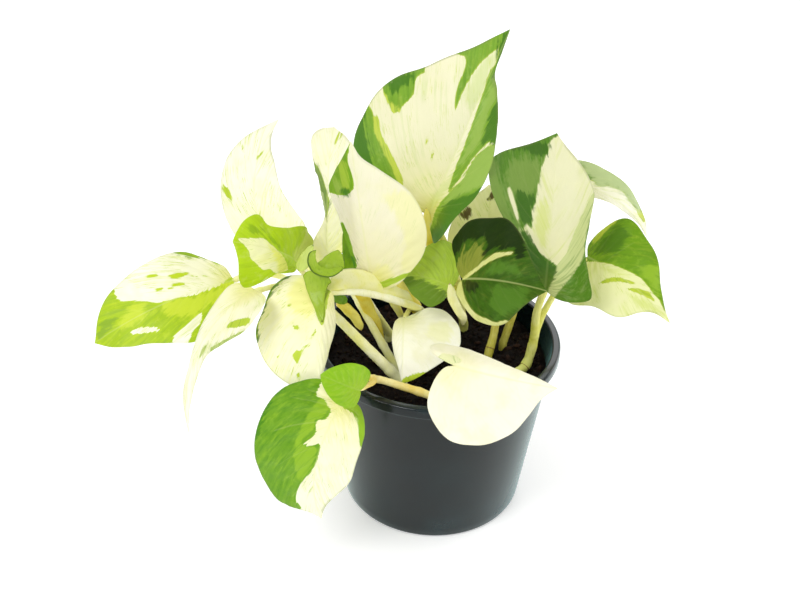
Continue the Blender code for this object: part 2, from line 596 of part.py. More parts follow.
def main():
    clear_scene()
    make_pot()
    make_soil()
    for name, runs in STEMS.items():
        make_stem(name, runs)
    for name, own in LEAVES.items():
        make_leaf(name, own)


main()
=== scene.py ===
import json
import math

import bpy
import numpy as np
from mathutils import Matrix

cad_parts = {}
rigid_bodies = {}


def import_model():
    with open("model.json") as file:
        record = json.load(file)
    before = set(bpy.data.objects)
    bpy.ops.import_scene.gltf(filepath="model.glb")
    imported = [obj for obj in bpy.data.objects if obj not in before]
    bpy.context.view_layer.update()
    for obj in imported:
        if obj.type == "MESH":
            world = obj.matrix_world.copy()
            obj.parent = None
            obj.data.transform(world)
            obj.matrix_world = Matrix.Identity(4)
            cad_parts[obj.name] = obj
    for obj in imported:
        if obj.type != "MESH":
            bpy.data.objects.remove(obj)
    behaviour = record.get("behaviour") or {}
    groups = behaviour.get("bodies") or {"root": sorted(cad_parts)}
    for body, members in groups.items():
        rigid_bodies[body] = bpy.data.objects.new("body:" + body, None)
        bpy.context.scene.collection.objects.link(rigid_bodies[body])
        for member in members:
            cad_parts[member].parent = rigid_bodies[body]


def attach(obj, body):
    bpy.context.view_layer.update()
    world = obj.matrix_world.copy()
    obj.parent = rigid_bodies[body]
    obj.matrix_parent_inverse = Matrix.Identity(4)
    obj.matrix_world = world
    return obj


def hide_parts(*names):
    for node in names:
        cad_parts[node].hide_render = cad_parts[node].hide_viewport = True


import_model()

mm = 0.001
fullTurn = 2 * math.pi
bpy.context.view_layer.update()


def unit(vectors):
    return vectors / np.linalg.norm(vectors, axis=-1, keepdims=True)


# 0 up to low and 1 from high on, with a soft bend between.
def smoothStep(low, high, values):
    share = np.clip((values - low) / (high - low), 0, 1)
    return share * share * (3 - 2 * share)


# 0 up to start, 1 from full to fall, and 0 again from end on, with soft bends.
def plateau(values, start, full, fall, end):
    return smoothStep(start, full, values) * (1 - smoothStep(fall, end, values))


# 1 at 0, and falling off like a bell to about a third at the width.
def bell(values, width):
    return np.exp(-(values / width) ** 2)


# Distance along a line of points, from 0 at its first point.
def wayAlong(points):
    return np.append(0, np.cumsum(np.linalg.norm(np.diff(points, axis=0), axis=1)))


# A curve through the points: on each span a cubic whose slopes follow the two neighbours.
# at is 0 at the first point and 1 at the last.
def curveThrough(points, at):
    points = np.array(points, float)
    padded = np.vstack([2 * points[0] - points[1], points, 2 * points[-1] - points[-2]])
    spans = len(points) - 1
    index = np.clip((at * spans).astype(int), 0, spans - 1)
    f = (at * spans - index)[..., None]
    a, b, c, d = padded[index], padded[index + 1], padded[index + 2], padded[index + 3]
    return 0.5 * (2 * b + (c - a) * f + (2 * a - 5 * b + 4 * c - d) * f**2 + (3 * b - a - 3 * c + d) * f**3)


# Bumps from crossing sine waves of random direction, each octave finer and lower, about -1 to 1.
def waveNoise(points, size, seed, octaves=3):
    random = np.random.default_rng(seed)
    total, height = np.zeros(points.shape[:-1]), 1.0
    for octave in range(octaves):
        directions = unit(random.normal(size=(5, points.shape[-1])))
        waves = directions * fullTurn / size * random.uniform(0.7, 1.3, (5, 1))
        shifts = random.uniform(0, fullTurn, 5)
        total += height * np.sin(points @ waves.T + shifts).sum(-1) / 3
        size, height = size * 0.47, height * 0.5
    return total


# Quads between neighbouring rows and columns of a grid of vertex numbers.
def gridQuads(numbers, flip=False):
    corners = numbers[:-1, :-1], numbers[1:, :-1], numbers[1:, 1:], numbers[:-1, 1:]
    quads = np.stack(corners, -1).reshape(-1, 4)
    return quads[:, ::-1] if flip else quads


# Triangles from one vertex to the edges of a row.
def fan(centre, row, flip=False):
    triangles = np.stack([np.full(len(row) - 1, centre), row[:-1], row[1:]], -1)
    return triangles[:, ::-1] if flip else triangles


# A closed sleeve: rings of points, each joined to the next, and a fan from a pole at each end.
def closedSleeve(rings, poles, flip=True):
    numbers = np.arange(rings[..., 0].size).reshape(rings.shape[:2])
    wrapped = np.hstack([numbers, numbers[:, :1]])
    first, last = numbers.size, numbers.size + 1
    faces = [gridQuads(wrapped, flip), fan(first, wrapped[0], flip), fan(last, wrapped[-1], not flip)]
    return np.vstack([rings.reshape(-1, 3), poles]), faces


# A new object from vertices in mm and faces. values are point attributes, maps are UV maps,
# and creased marks the vertices along which the two skins of a blade meet.
def makePiece(name, vertices, faceSets, material, values=None, maps=None, replaced=(), creased=None):
    mesh = bpy.data.meshes.new(name)
    faces = [face for faceSet in faceSets for face in faceSet.tolist()]
    mesh.from_pydata((np.asarray(vertices) * mm).tolist(), [], faces)
    for key, array in (values or {}).items():
        attribute = mesh.attributes.new(key, "FLOAT", "POINT")
        attribute.data.foreach_set("value", np.ascontiguousarray(array, np.float32))
    for key, array in (maps or {}).items():
        layer = mesh.uv_layers.new(name=key)
        layer.uv.foreach_set("vector", np.ascontiguousarray(array, np.float32).ravel())
    mesh.shade_smooth()
    if creased is not None:
        ends = np.empty(len(mesh.edges) * 2, np.int32)
        mesh.edges.foreach_get("vertices", ends)
        sharp = mesh.attributes.new("sharp_edge", "BOOLEAN", "EDGE")
        sharp.data.foreach_set("value", creased[ends.reshape(-1, 2)].all(1))
    mesh.materials.append(material)
    piece = bpy.data.objects.new(name, mesh)
    bpy.context.collection.objects.link(piece)
    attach(piece, "root")
    if replaced:
        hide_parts(*replaced)
    return piece


# A shader colour from the red, green and blue of a screen, 0 to 255.
def colour(red, green, blue):
    share = np.array([red, green, blue]) / 255
    linear = np.where(share <= 0.04045, share / 12.92, ((share + 0.055) / 1.055) ** 2.4)
    return (*linear.tolist(), 1.0)


# Short ways to add nodes to one shader tree. An input takes a socket, a number or a colour.
class Nodes:
    def __init__(self, tree):
        self.tree = tree

    def fill(self, sockets, values):
        for key, value in values.items():
            if isinstance(value, bpy.types.NodeSocket):
                self.tree.links.new(value, sockets[key])
            else:
                sockets[key].default_value = value

    # Adds a node and gives back its outputs.
    def add(self, kind, inputs=None, **settings):
        made = self.tree.nodes.new("ShaderNode" + kind)
        for key, value in settings.items():
            setattr(made, key, value)
        self.fill(made.inputs, inputs or {})
        return made.outputs

    def calc(self, operation, total, values):
        for value in values:
            total = self.add("Math", {0: total, 1: value}, operation=operation)[0]
        return total

    def plus(self, first, *others):
        return self.calc("ADD", first, others)

    def minus(self, first, *others):
        return self.calc("SUBTRACT", first, others)

    def times(self, first, *others):
        return self.calc("MULTIPLY", first, others)

    def ramp(self, value, low, high, start=0.0, end=1.0):
        inputs = {"Value": value, "From Min": low, "From Max": high, "To Min": start, "To Max": end}
        return self.add("MapRange", inputs, interpolation_type="SMOOTHSTEP")[0]

    def mix(self, share, under, over, blend="MIX"):
        return self.add("Mix", {0: share, 6: under, 7: over}, data_type="RGBA", blend_type=blend)[2]

    # Lays (share, colour) pairs on a colour, one after the other.
    def lay(self, base, *layers):
        for share, over in layers:
            base = self.mix(share, base, over)
        return base

    # Three scales stretch the pattern, and shift moves it to another part of the noise.
    def noise(self, vector, scale, detail=2.0, roughness=0.5, distortion=0.0, shift=0.0):
        if isinstance(scale, tuple):
            inputs = {0: vector, 1: scale, 2: (shift, shift, shift)}
            vector, scale = self.add("VectorMath", inputs, operation="MULTIPLY_ADD")[0], 1.0
        inputs = {"Vector": vector, "Scale": scale, "Detail": detail, "Roughness": roughness,
                  "Distortion": distortion}
        return self.add("TexNoise", inputs)[0]

    def cells(self, vector, scale):
        return self.add("TexVoronoi", {"Vector": vector, "Scale": scale})[0]

    def bump(self, strength, distance, height):
        return self.add("Bump", {"Strength": strength, "Distance": distance, "Height": height})[0]

    def objectPlace(self):
        return self.add("TexCoord")["Object"]

    def heightOf(self, place):
        return self.add("SeparateXYZ", {0: place})[2]

    def attribute(self, name):
        return self.add("Attribute", attribute_name=name)["Fac"]


# A node group that takes colours and amounts and puts out a colour, a roughness and a height.
def newGroup(name, colours, amounts=()):
    tree = bpy.data.node_groups.new(name, "ShaderNodeTree")
    sockets = [(key, "INPUT", "Color") for key in colours] + [(key, "INPUT", "Float") for key in amounts]
    sockets += [("Color", "OUTPUT", "Color"), ("Roughness", "OUTPUT", "Float"), ("Height", "OUTPUT", "Float")]
    for key, way, kind in sockets:
        tree.interface.new_socket(key, in_out=way, socket_type="NodeSocket" + kind)
    return Nodes(tree), tree.nodes.new("NodeGroupInput").outputs, tree.nodes.new("NodeGroupOutput").inputs


def newMaterial(name):
    material = bpy.data.materials.new(name)
    material.use_nodes = True
    tree = material.node_tree
    return material, Nodes(tree), tree.nodes["Principled BSDF"].inputs


# A material whose colour, roughness and relief come from a group with this piece's values.
def groupMaterial(name, group, inputs, relief, finish):
    material, nodes, shader = newMaterial(name)
    tones = nodes.add("Group", inputs, node_tree=group)
    normal = nodes.bump(0.3, relief, tones["Height"])
    nodes.fill(shader, {"Base Color": tones["Color"], "Roughness": tones["Roughness"], "Normal": normal})
    nodes.fill(shader, finish)
    return material


potShape = {
    "height": 91.0, "baseRadius": 45.5, "topRadius": 57.4, "wall": 1.4, "floor": 1.6,
    "floorRings": (12.6, 23.4, 34.2, 41.4), "rimRadius": 60.0, "rimHeight": 5.0, "segments": 192,
    "footRound": 1.6, "lipLow": 0.6, "lipTop": 1.1, "lipIn": 0.9,   # radii of the rounded edges
    "holes": 6, "holeRadius": 4.5, "holeCircle": 32.0,
}
potLook = {
    "plastic": colour(1, 9, 10), "dustAndRimHighlight": colour(32, 56, 60), "speck": colour(2, 5, 5),
    "sheen": colour(190, 250, 250),
}


# Radius of the pot's outside at a height: it widens evenly from the base to the top.
def potOutside(z):
    return potShape["baseRadius"] + (potShape["topRadius"] - potShape["baseRadius"]) * z / potShape["height"]


# The same for the inside, one wall closer to the middle.
def potInside(z):
    return potOutside(z) - potShape["wall"]


# A quarter of a circle in the profile, from a start angle in degrees.
def arc(x, z, radius, start):
    turn = np.radians(start) + np.linspace(0, math.pi / 2, 6)
    return np.stack([x + radius * np.cos(turn), z + radius * np.sin(turn)], -1)


# The pot is a profile of (radius, height) turned about the upright axis: out under the floor,
# up the outside, over the rolled lip, down the inside and in over the floor.
def buildPot(material):
    shape = potShape
    height, floor, rimBottom = shape["height"], shape["floor"], shape["height"] - shape["rimHeight"]
    foot, low, top, inner = shape["footRound"], shape["lipLow"], shape["lipTop"], shape["lipIn"]
    up = np.linspace(2.5, rimBottom - 0.8, 26)       # rings of the wall's outside
    down = np.linspace(height - 2.5, floor + 1.5, 14)   # and of its inside
    floorInside = potInside(2)
    profile = np.vstack([
        [(radius, 0) for radius in shape["floorRings"]],
        arc(shape["baseRadius"] - foot, foot, foot, -90),
        np.stack([potOutside(up), up], -1),
        [(potOutside(rimBottom) + 0.1, rimBottom - 0.25), (potOutside(rimBottom) + 0.5, rimBottom)],
        arc(shape["rimRadius"] - low, rimBottom + low, low, -90),
        arc(shape["rimRadius"] - top, height - top, top, 0),
        arc(potInside(height) + inner, height - inner, inner, 90),
        np.stack([potInside(down), down], -1),
        [(floorInside - 0.6, floor + 0.35), (floorInside - 1.8, floor)],
        [(radius, floor) for radius in shape["floorRings"][-2::-1]]])
    angles = np.linspace(0, fullTurn, shape["segments"], endpoint=False)[None, :]
    radius, z = profile[:, :1], profile[:, 1:]
    rings = np.stack([radius * np.cos(angles), radius * np.sin(angles), z + 0 * angles], -1)
    vertices, faces = closedSleeve(rings, [(0, 0, 0), (0, 0, floor)])
    pot = makePiece("nurseryPot", vertices, faces, material, replaced=["pot"])

    holes = bpy.data.collections.new("drainHoles")
    for k in range(shape["holes"]):
        angle = fullTurn * (k + 0.5) / shape["holes"]
        across, back = shape["holeCircle"] * math.cos(angle), shape["holeCircle"] * math.sin(angle)
        bpy.ops.mesh.primitive_cylinder_add(vertices=32, radius=shape["holeRadius"] * mm, depth=8 * mm,
                                            location=(across * mm, back * mm, 0.5 * mm))
        holes.objects.link(bpy.context.object)
    cut = pot.modifiers.new("drainHoles", "BOOLEAN")
    cut.operand_type, cut.collection, cut.solver = "COLLECTION", holes, "EXACT"
    finished = bpy.data.meshes.new_from_object(pot.evaluated_get(bpy.context.evaluated_depsgraph_get()))
    pot.modifiers.clear()
    pot.data = finished
    for cutter in list(holes.objects):
        bpy.data.objects.remove(cutter)
    bpy.data.collections.remove(holes)


# Black plastic with dust near the foot and a painted highlight along the rim, both in the dust colour and in
# clouds, faint scuffs and dark specks.
def potMaterial():
    material, nodes, shader = newMaterial("blackNurseryPlastic")
    place = nodes.objectPlace()
    height = nodes.heightOf(place)
    cloud = nodes.noise(place, 34.0, 4.0, 0.6)
    grain = nodes.noise(place, 900.0)
    scuffs = nodes.noise(place, (60.0, 60.0, 420.0), 3.0, 0.65)
    # painted highlight: the rim band turns lighter towards its top in the dust colour, added to the real dust
    # near the foot
    nearFoot, rimHighlight = nodes.ramp(height, 0.0, 0.03, 0.5, 0.0), nodes.ramp(height, 0.086, 0.091, 0.0, 0.35)
    dustAndRimHighlight = nodes.times(nodes.plus(nearFoot, rimHighlight, 0.16), nodes.ramp(cloud, 0.35, 0.75))
    specks = nodes.ramp(nodes.cells(place, 105.0), 0.05, 0.14, 0.75, 0.0)
    speckArea = nodes.ramp(nodes.noise(place, 26.0), 0.6, 0.66)
    base = nodes.lay(
        potLook["plastic"],
        (dustAndRimHighlight, potLook["dustAndRimHighlight"]),
        (nodes.ramp(scuffs, 0.6, 0.72, 0.0, 0.16), potLook["dustAndRimHighlight"]),
        (nodes.times(specks, speckArea), potLook["speck"]))
    relief = nodes.plus(nodes.times(grain, 0.25), nodes.times(cloud, 0.6))
    nodes.fill(shader, {
        "Base Color": base, "Roughness": nodes.ramp(cloud, 0.2, 0.8, 0.13, 0.24), "Specular IOR Level": 0.34,
        "Sheen Weight": 0.4, "Sheen Tint": potLook["sheen"], "Sheen Roughness": 0.32,
        "Normal": nodes.bump(0.12, 0.0006, relief)})
    return material


soilShape = {
    "top": 79.5, "bottom": 2.2, "lump": 0.9, "fineLump": 0.55, "fineSize": 5.0, "wallGap": 0.5,
    "edgeDrop": 1.6, "rings": 70, "segments": 220, "crumbGap": 3.0,
    "crumbs": 900, "crumbSize": (0.5, 1.5), "chips": 90, "chipSize": (1.6, 3.4), "sunk": 0.12, "seed": 7,
}
soilLook = {"dark": colour(9, 5, 4), "brown": colour(30, 17, 11), "chip": colour(58, 34, 22)}


# The soil's height: its level, low lumps from crossing sine waves, and finer ones from waveNoise.
def soilHeight(x, y):
    lumps = np.sin(0.19 * x + 0.7) * np.cos(0.23 * y - 0.4) + 0.6 * np.sin(0.41 * x - 0.33 * y)
    fine = waveNoise(np.stack([x, y], -1), soilShape["fineSize"], 3, 4)
    return soilShape["top"] + soilShape["lump"] * lumps + soilShape["fineLump"] * fine


# The soil is a disc on rings and spokes at soilHeight, with its edge turned down to the pot's
# wall, closed underneath by a wall at 0.985 of the pot's inside and a floor.
def buildSoil(material):
    shape = soilShape
    edge = potInside(shape["top"]) - shape["wallGap"]
    radii = np.linspace(0, 1, shape["rings"] + 1)[1:, None] * edge
    angles = np.linspace(0, fullTurn, shape["segments"], endpoint=False)[None, :]
    x, y = radii * np.cos(angles), radii * np.sin(angles)
    skin = np.stack([x, y, soilHeight(x, y) - shape["edgeDrop"] * smoothStep(0.94, 1.0, radii / edge)], -1)
    lowRadii = 0.985 * potInside(np.array([60.0, 30.0, 4.0]))[:, None]
    lowHeights = np.array([60.0, 30.0, shape["bottom"]])[:, None]
    lower = np.stack([lowRadii * np.cos(angles), lowRadii * np.sin(angles), lowHeights + 0 * angles], -1)
    poles = [(0, 0, float(soilHeight(0.0, 0.0))), (0, 0, shape["bottom"])]
    vertices, faces = closedSleeve(np.concatenate([skin, lower]), poles, flip=False)
    makePiece("pottingSoil", vertices, faces, material,
              values={"crumbTone": np.zeros(len(vertices))}, replaced=["soil"])
    buildCrumbs(material, edge - shape["crumbGap"])


# Crumbs and bark chips: one low lump of 20 faces, squashed, turned and dented at random, and
# laid on the soil within a radius.
def buildCrumbs(material, within):
    shape = soilShape
    random = np.random.default_rng(shape["seed"])
    total = shape["crumbs"] + shape["chips"]
    golden = (1 + 5 ** 0.5) / 2
    corners = np.array([(-1, golden, 0), (1, golden, 0), (-1, -golden, 0), (1, -golden, 0), (0, -1, golden),
                        (0, 1, golden), (0, -1, -golden), (0, 1, -golden), (golden, 0, -1), (golden, 0, 1),
                        (-golden, 0, -1), (-golden, 0, 1)]) / 1.9   # corners about 1 from the centre
    sides = np.array([(0, 11, 5), (0, 5, 1), (0, 1, 7), (0, 7, 10), (0, 10, 11), (1, 5, 9), (5, 11, 4),
                      (11, 10, 2), (10, 7, 6), (7, 1, 8), (3, 9, 4), (3, 4, 2), (3, 2, 6), (3, 6, 8),
                      (3, 8, 9), (4, 9, 5), (2, 4, 11), (6, 2, 10), (8, 6, 7), (9, 8, 1)])
    isChip = np.arange(total) >= shape["crumbs"]
    chipSize, crumbSize = random.uniform(*shape["chipSize"], total), random.uniform(*shape["crumbSize"], total)
    size = np.where(isChip, chipSize, crumbSize)
    flat = np.where(isChip[:, None], [1.0, 0.42, 0.28], [1.0, 0.85, 0.7]) * random.uniform(0.8, 1.2, (total, 3))
    dents = 1 + random.uniform(-0.22, 0.22, (total, len(corners), 1))
    lumps = corners[None] * dents * flat[:, None] * size[:, None, None]
    spin = random.uniform(0, fullTurn, total)
    tilt = random.uniform(-0.5, 0.5, total)
    cosine, sine = np.cos(spin)[:, None], np.sin(spin)[:, None]
    x, y, z = lumps[..., 0], lumps[..., 1], lumps[..., 2]
    turned = np.stack([x * cosine - y * sine, x * sine + y * cosine, z + x * np.sin(tilt)[:, None]], -1)
    reach = within * np.sqrt(random.uniform(0, 1, total))
    way = random.uniform(0, fullTurn, total)
    centres = np.stack([reach * np.cos(way), reach * np.sin(way), np.zeros(total)], -1)
    centres[:, 2] = soilHeight(centres[:, 0], centres[:, 1]) + size * shape["sunk"]
    vertices = (turned + centres[:, None]).reshape(-1, 3)
    faces = (sides[None] + np.arange(total)[:, None, None] * len(corners)).reshape(-1, 3)
    tone = np.where(isChip, random.uniform(0.45, 1.0, total), random.uniform(0.0, 0.35, total))
    makePiece("soilCrumbs", vertices, [faces], material,
              values={"crumbTone": np.repeat(tone, len(corners))})


# Dark earth with brown clouds and pale fibres; crumbTone turns a crumb towards bark.
def soilMaterial():
    material, nodes, shader = newMaterial("pottingSoil")
    place = nodes.objectPlace()
    coarse = nodes.noise(place, 240.0, 5.0, 0.7)
    fine = nodes.noise(place, 1400.0, 3.0, 0.6)
    fibres = nodes.noise(place, (300.0, 1500.0, 900.0), 3.0, 0.6, 1.5)
    base = nodes.lay(
        soilLook["dark"],
        (nodes.ramp(coarse, 0.35, 0.75, 0.0, 0.7), soilLook["brown"]),
        (nodes.ramp(fibres, 0.62, 0.72, 0.0, 0.5), soilLook["chip"]),
        (nodes.times(nodes.attribute("crumbTone"), 0.8), soilLook["chip"]))
    normal = nodes.bump(0.8, 0.0012, nodes.plus(coarse, nodes.times(fine, 0.5)))
    nodes.fill(shader, {"Base Color": base, "Roughness": 0.95, "Specular IOR Level": 0.2, "Normal": normal})
    return material


# Outlines of a half of a blade between its notch and its tip, in percent of the length and
# of the half's width.
plainHalf = [(-7, 13), (-11, 34), (-9, 58), (0, 80), (13, 95), (29, 100), (46, 91), (63, 70), (79, 41),
             (91, 16)]
youngHalf = [(-5, 25), (-3, 60), (8, 88), (28, 100), (50, 96), (70, 75), (86, 45), (95, 20)]

# What a leaf has where its own entry says nothing else: the bow of its midrib towards the
# face and the left, the fold and curl of its two halves in degrees, the height and number of
# its edge ripples, the heights of its quilting between the veins, of broad lumps and of fine
# puckers, all in mm, and how far its streaks lean from the ribs to the tip.
plainLeaf = {
    "left": plainHalf, "right": plainHalf, "rise": (6, 6), "sway": (0, 0), "fold": (12, 12), "curl": (0, 0),
    "wave": 0.8, "waves": 2.5, "quilt": 0.16, "dish": 0.35, "pucker": 0.05, "lean": 1.0}

leaves = {
    "leaf_tall": {
        "base": (-6, 18, 148), "tip": (30, 62, 225), "face": (-1, -9, 5), "width": (50, 33), "rise": (2, 4),
        "sway": (1, 0), "fold": (5, 50), "wave": 1.2,
        "left": [(1, 25), (5, 60), (12, 85), (22, 94), (33, 94), (45, 90), (56, 78), (65, 60), (74, 45),
            (84, 25), (93, 11)],
        "right": [(-7, 10), (-12, 26), (-7, 39), (3, 50), (10, 63), (17, 77), (28, 82), (40, 77), (57, 50),
            (68, 26), (76, 7), (88, 3)]},
    "leaf_cream": {
        "base": (-32, -9, 124), "tip": (-43, 13, 188), "face": (-1, -9, 5), "width": (26, 30),
        "rise": (4, 4), "fold": (60, 0), "curl": (0, -10),
        "left": [(1, 15), (8, 28), (20, 34), (38, 46), (54, 54), (66, 68), (74, 70), (82, 48), (90, 20)],
        "right": [(-3, 20), (0, 42), (7, 62), (18, 86), (32, 96), (46, 94), (58, 84), (68, 67), (80, 36),
            (89, 12)]},
    "leaf_behind_left": {
        "base": (-54, 10, 128), "tip": (-53, 50, 178), "face": (-2, -9, 5), "width": (10, 17),
        "rise": (8, 10),
        "left": [(-8, 30), (-7, 70), (2, 95), (14, 60), (28, 15), (42, 10), (55, 30), (66, 60), (78, 90),
            (90, 95), (97, 60)],
        "right": [(1, 30), (8, 60), (20, 85), (35, 97), (50, 100), (65, 92), (80, 70), (91, 40)]},
    "leaf_upper_left": {
        "base": (-78, 16, 121), "tip": (-81, 62, 176), "face": (-3, -9, 5), "width": (16, 28),
        "rise": (8, 6), "sway": (14, 16), "fold": (10, 25),
        "left": [(2, 20), (10, 50), (22, 80), (34, 98), (48, 103), (60, 104), (70, 98), (80, 75), (91, 32)],
        "right": [(-4, 40), (-2, 80), (8, 98), (21, 88), (44, 67), (67, 45), (80, 20), (90, 6)]},
    "leaf_folded_left": {
        "base": (-67, -10, 137), "tip": (-92, -34, 161), "face": (0, -6, 8), "width": (18, 18),
        "rise": (6, 4), "fold": (-20, 25), "curl": (-40, 0),
        "left": [(5, 30), (20, 45), (40, 55), (52, 72), (61, 98), (75, 108), (87, 90), (94, 40)],
        "right": [(-15, 15), (-28, 50), (-33, 80), (-23, 97), (-5, 97), (12, 88), (30, 68), (45, 58),
            (58, 60), (68, 75), (78, 74), (90, 52)]},
    "leaf_hanging_left": {
        "base": (-52, -30, 135), "tip": (-54, -62, 99), "face": (-3, -8, 5), "width": (18, 30),
        "rise": (8, 6), "fold": (-65, 9), "curl": (-30, -25),
        "left": [(2, 18), (10, 34), (25, 47), (42, 49), (60, 34), (80, 14)],
        "right": [(-10, 20), (-16, 45), (-13, 70), (0, 85), (20, 94), (42, 100), (60, 94), (75, 75),
            (88, 45)]},
    "leaf_far_left": {
        "base": (-96, -16, 130), "tip": (-156, -42, 111), "face": (-1, -7, 7), "width": (24, 21),
        "rise": (8, 8), "sway": (-2, -2),
        "left": [(2, 25), (14, 55), (30, 92), (42, 100), (56, 80), (68, 60), (78, 50), (90, 30)],
        "right": [(2, 30), (10, 55), (22, 88), (32, 97), (45, 96), (58, 92), (70, 80), (80, 65), (90, 40)]},
    "leaf_drooping_left": {
        "base": (-85, -28, 133), "tip": (-111, -70, 83), "face": (-5, -6, 7), "width": (20, 14),
        "rise": (18, 17), "sway": (-4, -6),
        "left": [(0, 30), (4, 70), (14, 100), (26, 98), (38, 68), (50, 38), (65, 24), (82, 16)],
        "right": [(0, 35), (5, 65), (15, 62), (30, 42), (45, 24), (60, 16), (80, 12)]},
    "leaf_over_rim": {
        "base": (-43, -63, 98), "tip": (-53, -68, 32), "face": (-1, -9, 2), "width": (20, 28),
        "rise": (8, 8), "sway": (-8, -9), "pucker": 0.3, "quilt": 0.5,
        "left": [(-3, 15), (-3, 40), (5, 70), (17, 84), (36, 88), (50, 86), (62, 74), (73, 52), (86, 22)],
        "right": [(-7, 20), (-6, 50), (2, 78), (9, 96), (19, 105), (31, 107), (43, 102), (56, 91), (70, 74),
            (80, 58), (88, 32), (94, 14)]},
    "leaf_small": {
        "base": (-35, -68, 108), "tip": (-52, -72, 119), "face": (0, -8, 5), "width": (9, 11),
        "rise": (3, 3), "wave": 0.3, "quilt": 0.08, "dish": 0.1, "left": youngHalf, "right": youngHalf},
    "leaf_front_right": {
        "base": (6, -62, 118), "tip": (48, -80, 121), "face": (-1, -8, 4), "width": (24, 34),
        "rise": (5, 4), "fold": (-70, -5), "curl": (-20, -15),
        "left": [(-15, 3), (-32, 12), (-42, 30), (-38, 50), (-20, 60), (10, 55), (40, 40), (62, 25),
            (85, 10)],
        "right": [(-12, 5), (-22, 20), (-29, 45), (-29, 70), (-16, 95), (5, 102), (28, 98), (49, 86),
            (67, 66), (78, 42), (87, 18)]},
    "leaf_centre_front": {
        "base": (-17, -8, 106), "tip": (-17, -36, 88), "face": (0, -7, 7), "width": (28, 8), "rise": (6, 6),
        "fold": (0, -30), "curl": (-25, 0),
        "left": [(0, 12), (-10, 22), (-22, 32), (-27, 50), (-22, 74), (-8, 90), (20, 99), (46, 95),
            (64, 75), (82, 45), (94, 20)],
        "right": [(-2, 30), (5, 58), (20, 70), (38, 73), (56, 58), (76, 30)]},
    "leaf_dark_right": {
        "base": (10, -10, 130), "tip": (47, -28, 136), "face": (0, -6, 8), "width": (29, 22),
        "rise": (6, 5), "fold": (24, 0),
        "left": [(-9, 12), (-16, 35), (-20, 62), (-8, 84), (12, 95), (28, 99), (43, 99), (54, 89), (65, 69),
            (76, 44), (90, 15)],
        "right": [(-4, 12), (-3, 30), (6, 50), (20, 76), (36, 95), (52, 100), (68, 88), (80, 52),
            (91, 20)]},
    "leaf_big_right": {
        "base": (49, -8, 124), "tip": (53, 34, 185), "face": (0, -9, 5), "width": (36, 28), "rise": (4, 4),
        "fold": (10, 15), "curl": (30, 70),
        "left": [(5, 10), (18, 30), (32, 50), (46, 70), (56, 84), (66, 92), (75, 93), (83, 72), (91, 34)],
        "right": [(-5, 20), (-6, 50), (-1, 86), (12, 76), (27, 64), (44, 68), (60, 74), (72, 58), (83, 36),
            (92, 16)]},
    "leaf_arching_right": {
        "base": (54, 45, 156), "tip": (107, 50, 120), "face": (1, -5, 7), "width": (12, 8),
        "rise": (20, 16),
        "left": [(0, 40), (8, 85), (20, 102), (32, 98), (46, 86), (68, 66), (85, 36)],
        "right": [(0, 40), (10, 75), (25, 70), (42, 50), (67, 25), (85, 10)]},
    "leaf_far_right": {
        "base": (72, 20, 126), "tip": (111, -5, 105), "face": (1, -6, 8), "width": (26, 25), "rise": (8, 8),
        "fold": (10, -5), "wave": 1.2,
        "left": [(-8, 25), (-7, 55), (-2, 85), (7, 102), (19, 103), (35, 90), (54, 67), (74, 32), (88, 10)],
        "right": [(-6, 40), (0, 85), (14, 102), (33, 86), (52, 76), (64, 60), (73, 30), (83, 12)]},
    "leaf_behind_centre": {
        "base": (23, 22, 120), "tip": (24, 48, 150), "face": (0, -8, 6), "width": (20, 16)},
    "leaf_green_centre": {
        "base": (6, 0, 119), "tip": (-20, 4, 123), "face": (0, -6, 8), "width": (15, 20),
        "left": [(3, 15), (8, 40), (18, 75), (32, 98), (48, 93), (65, 70), (80, 40), (92, 15)],
        "right": [(-4, 20), (-5, 50), (2, 80), (15, 97), (32, 100), (48, 91), (65, 70), (80, 40),
            (92, 15)]},
}

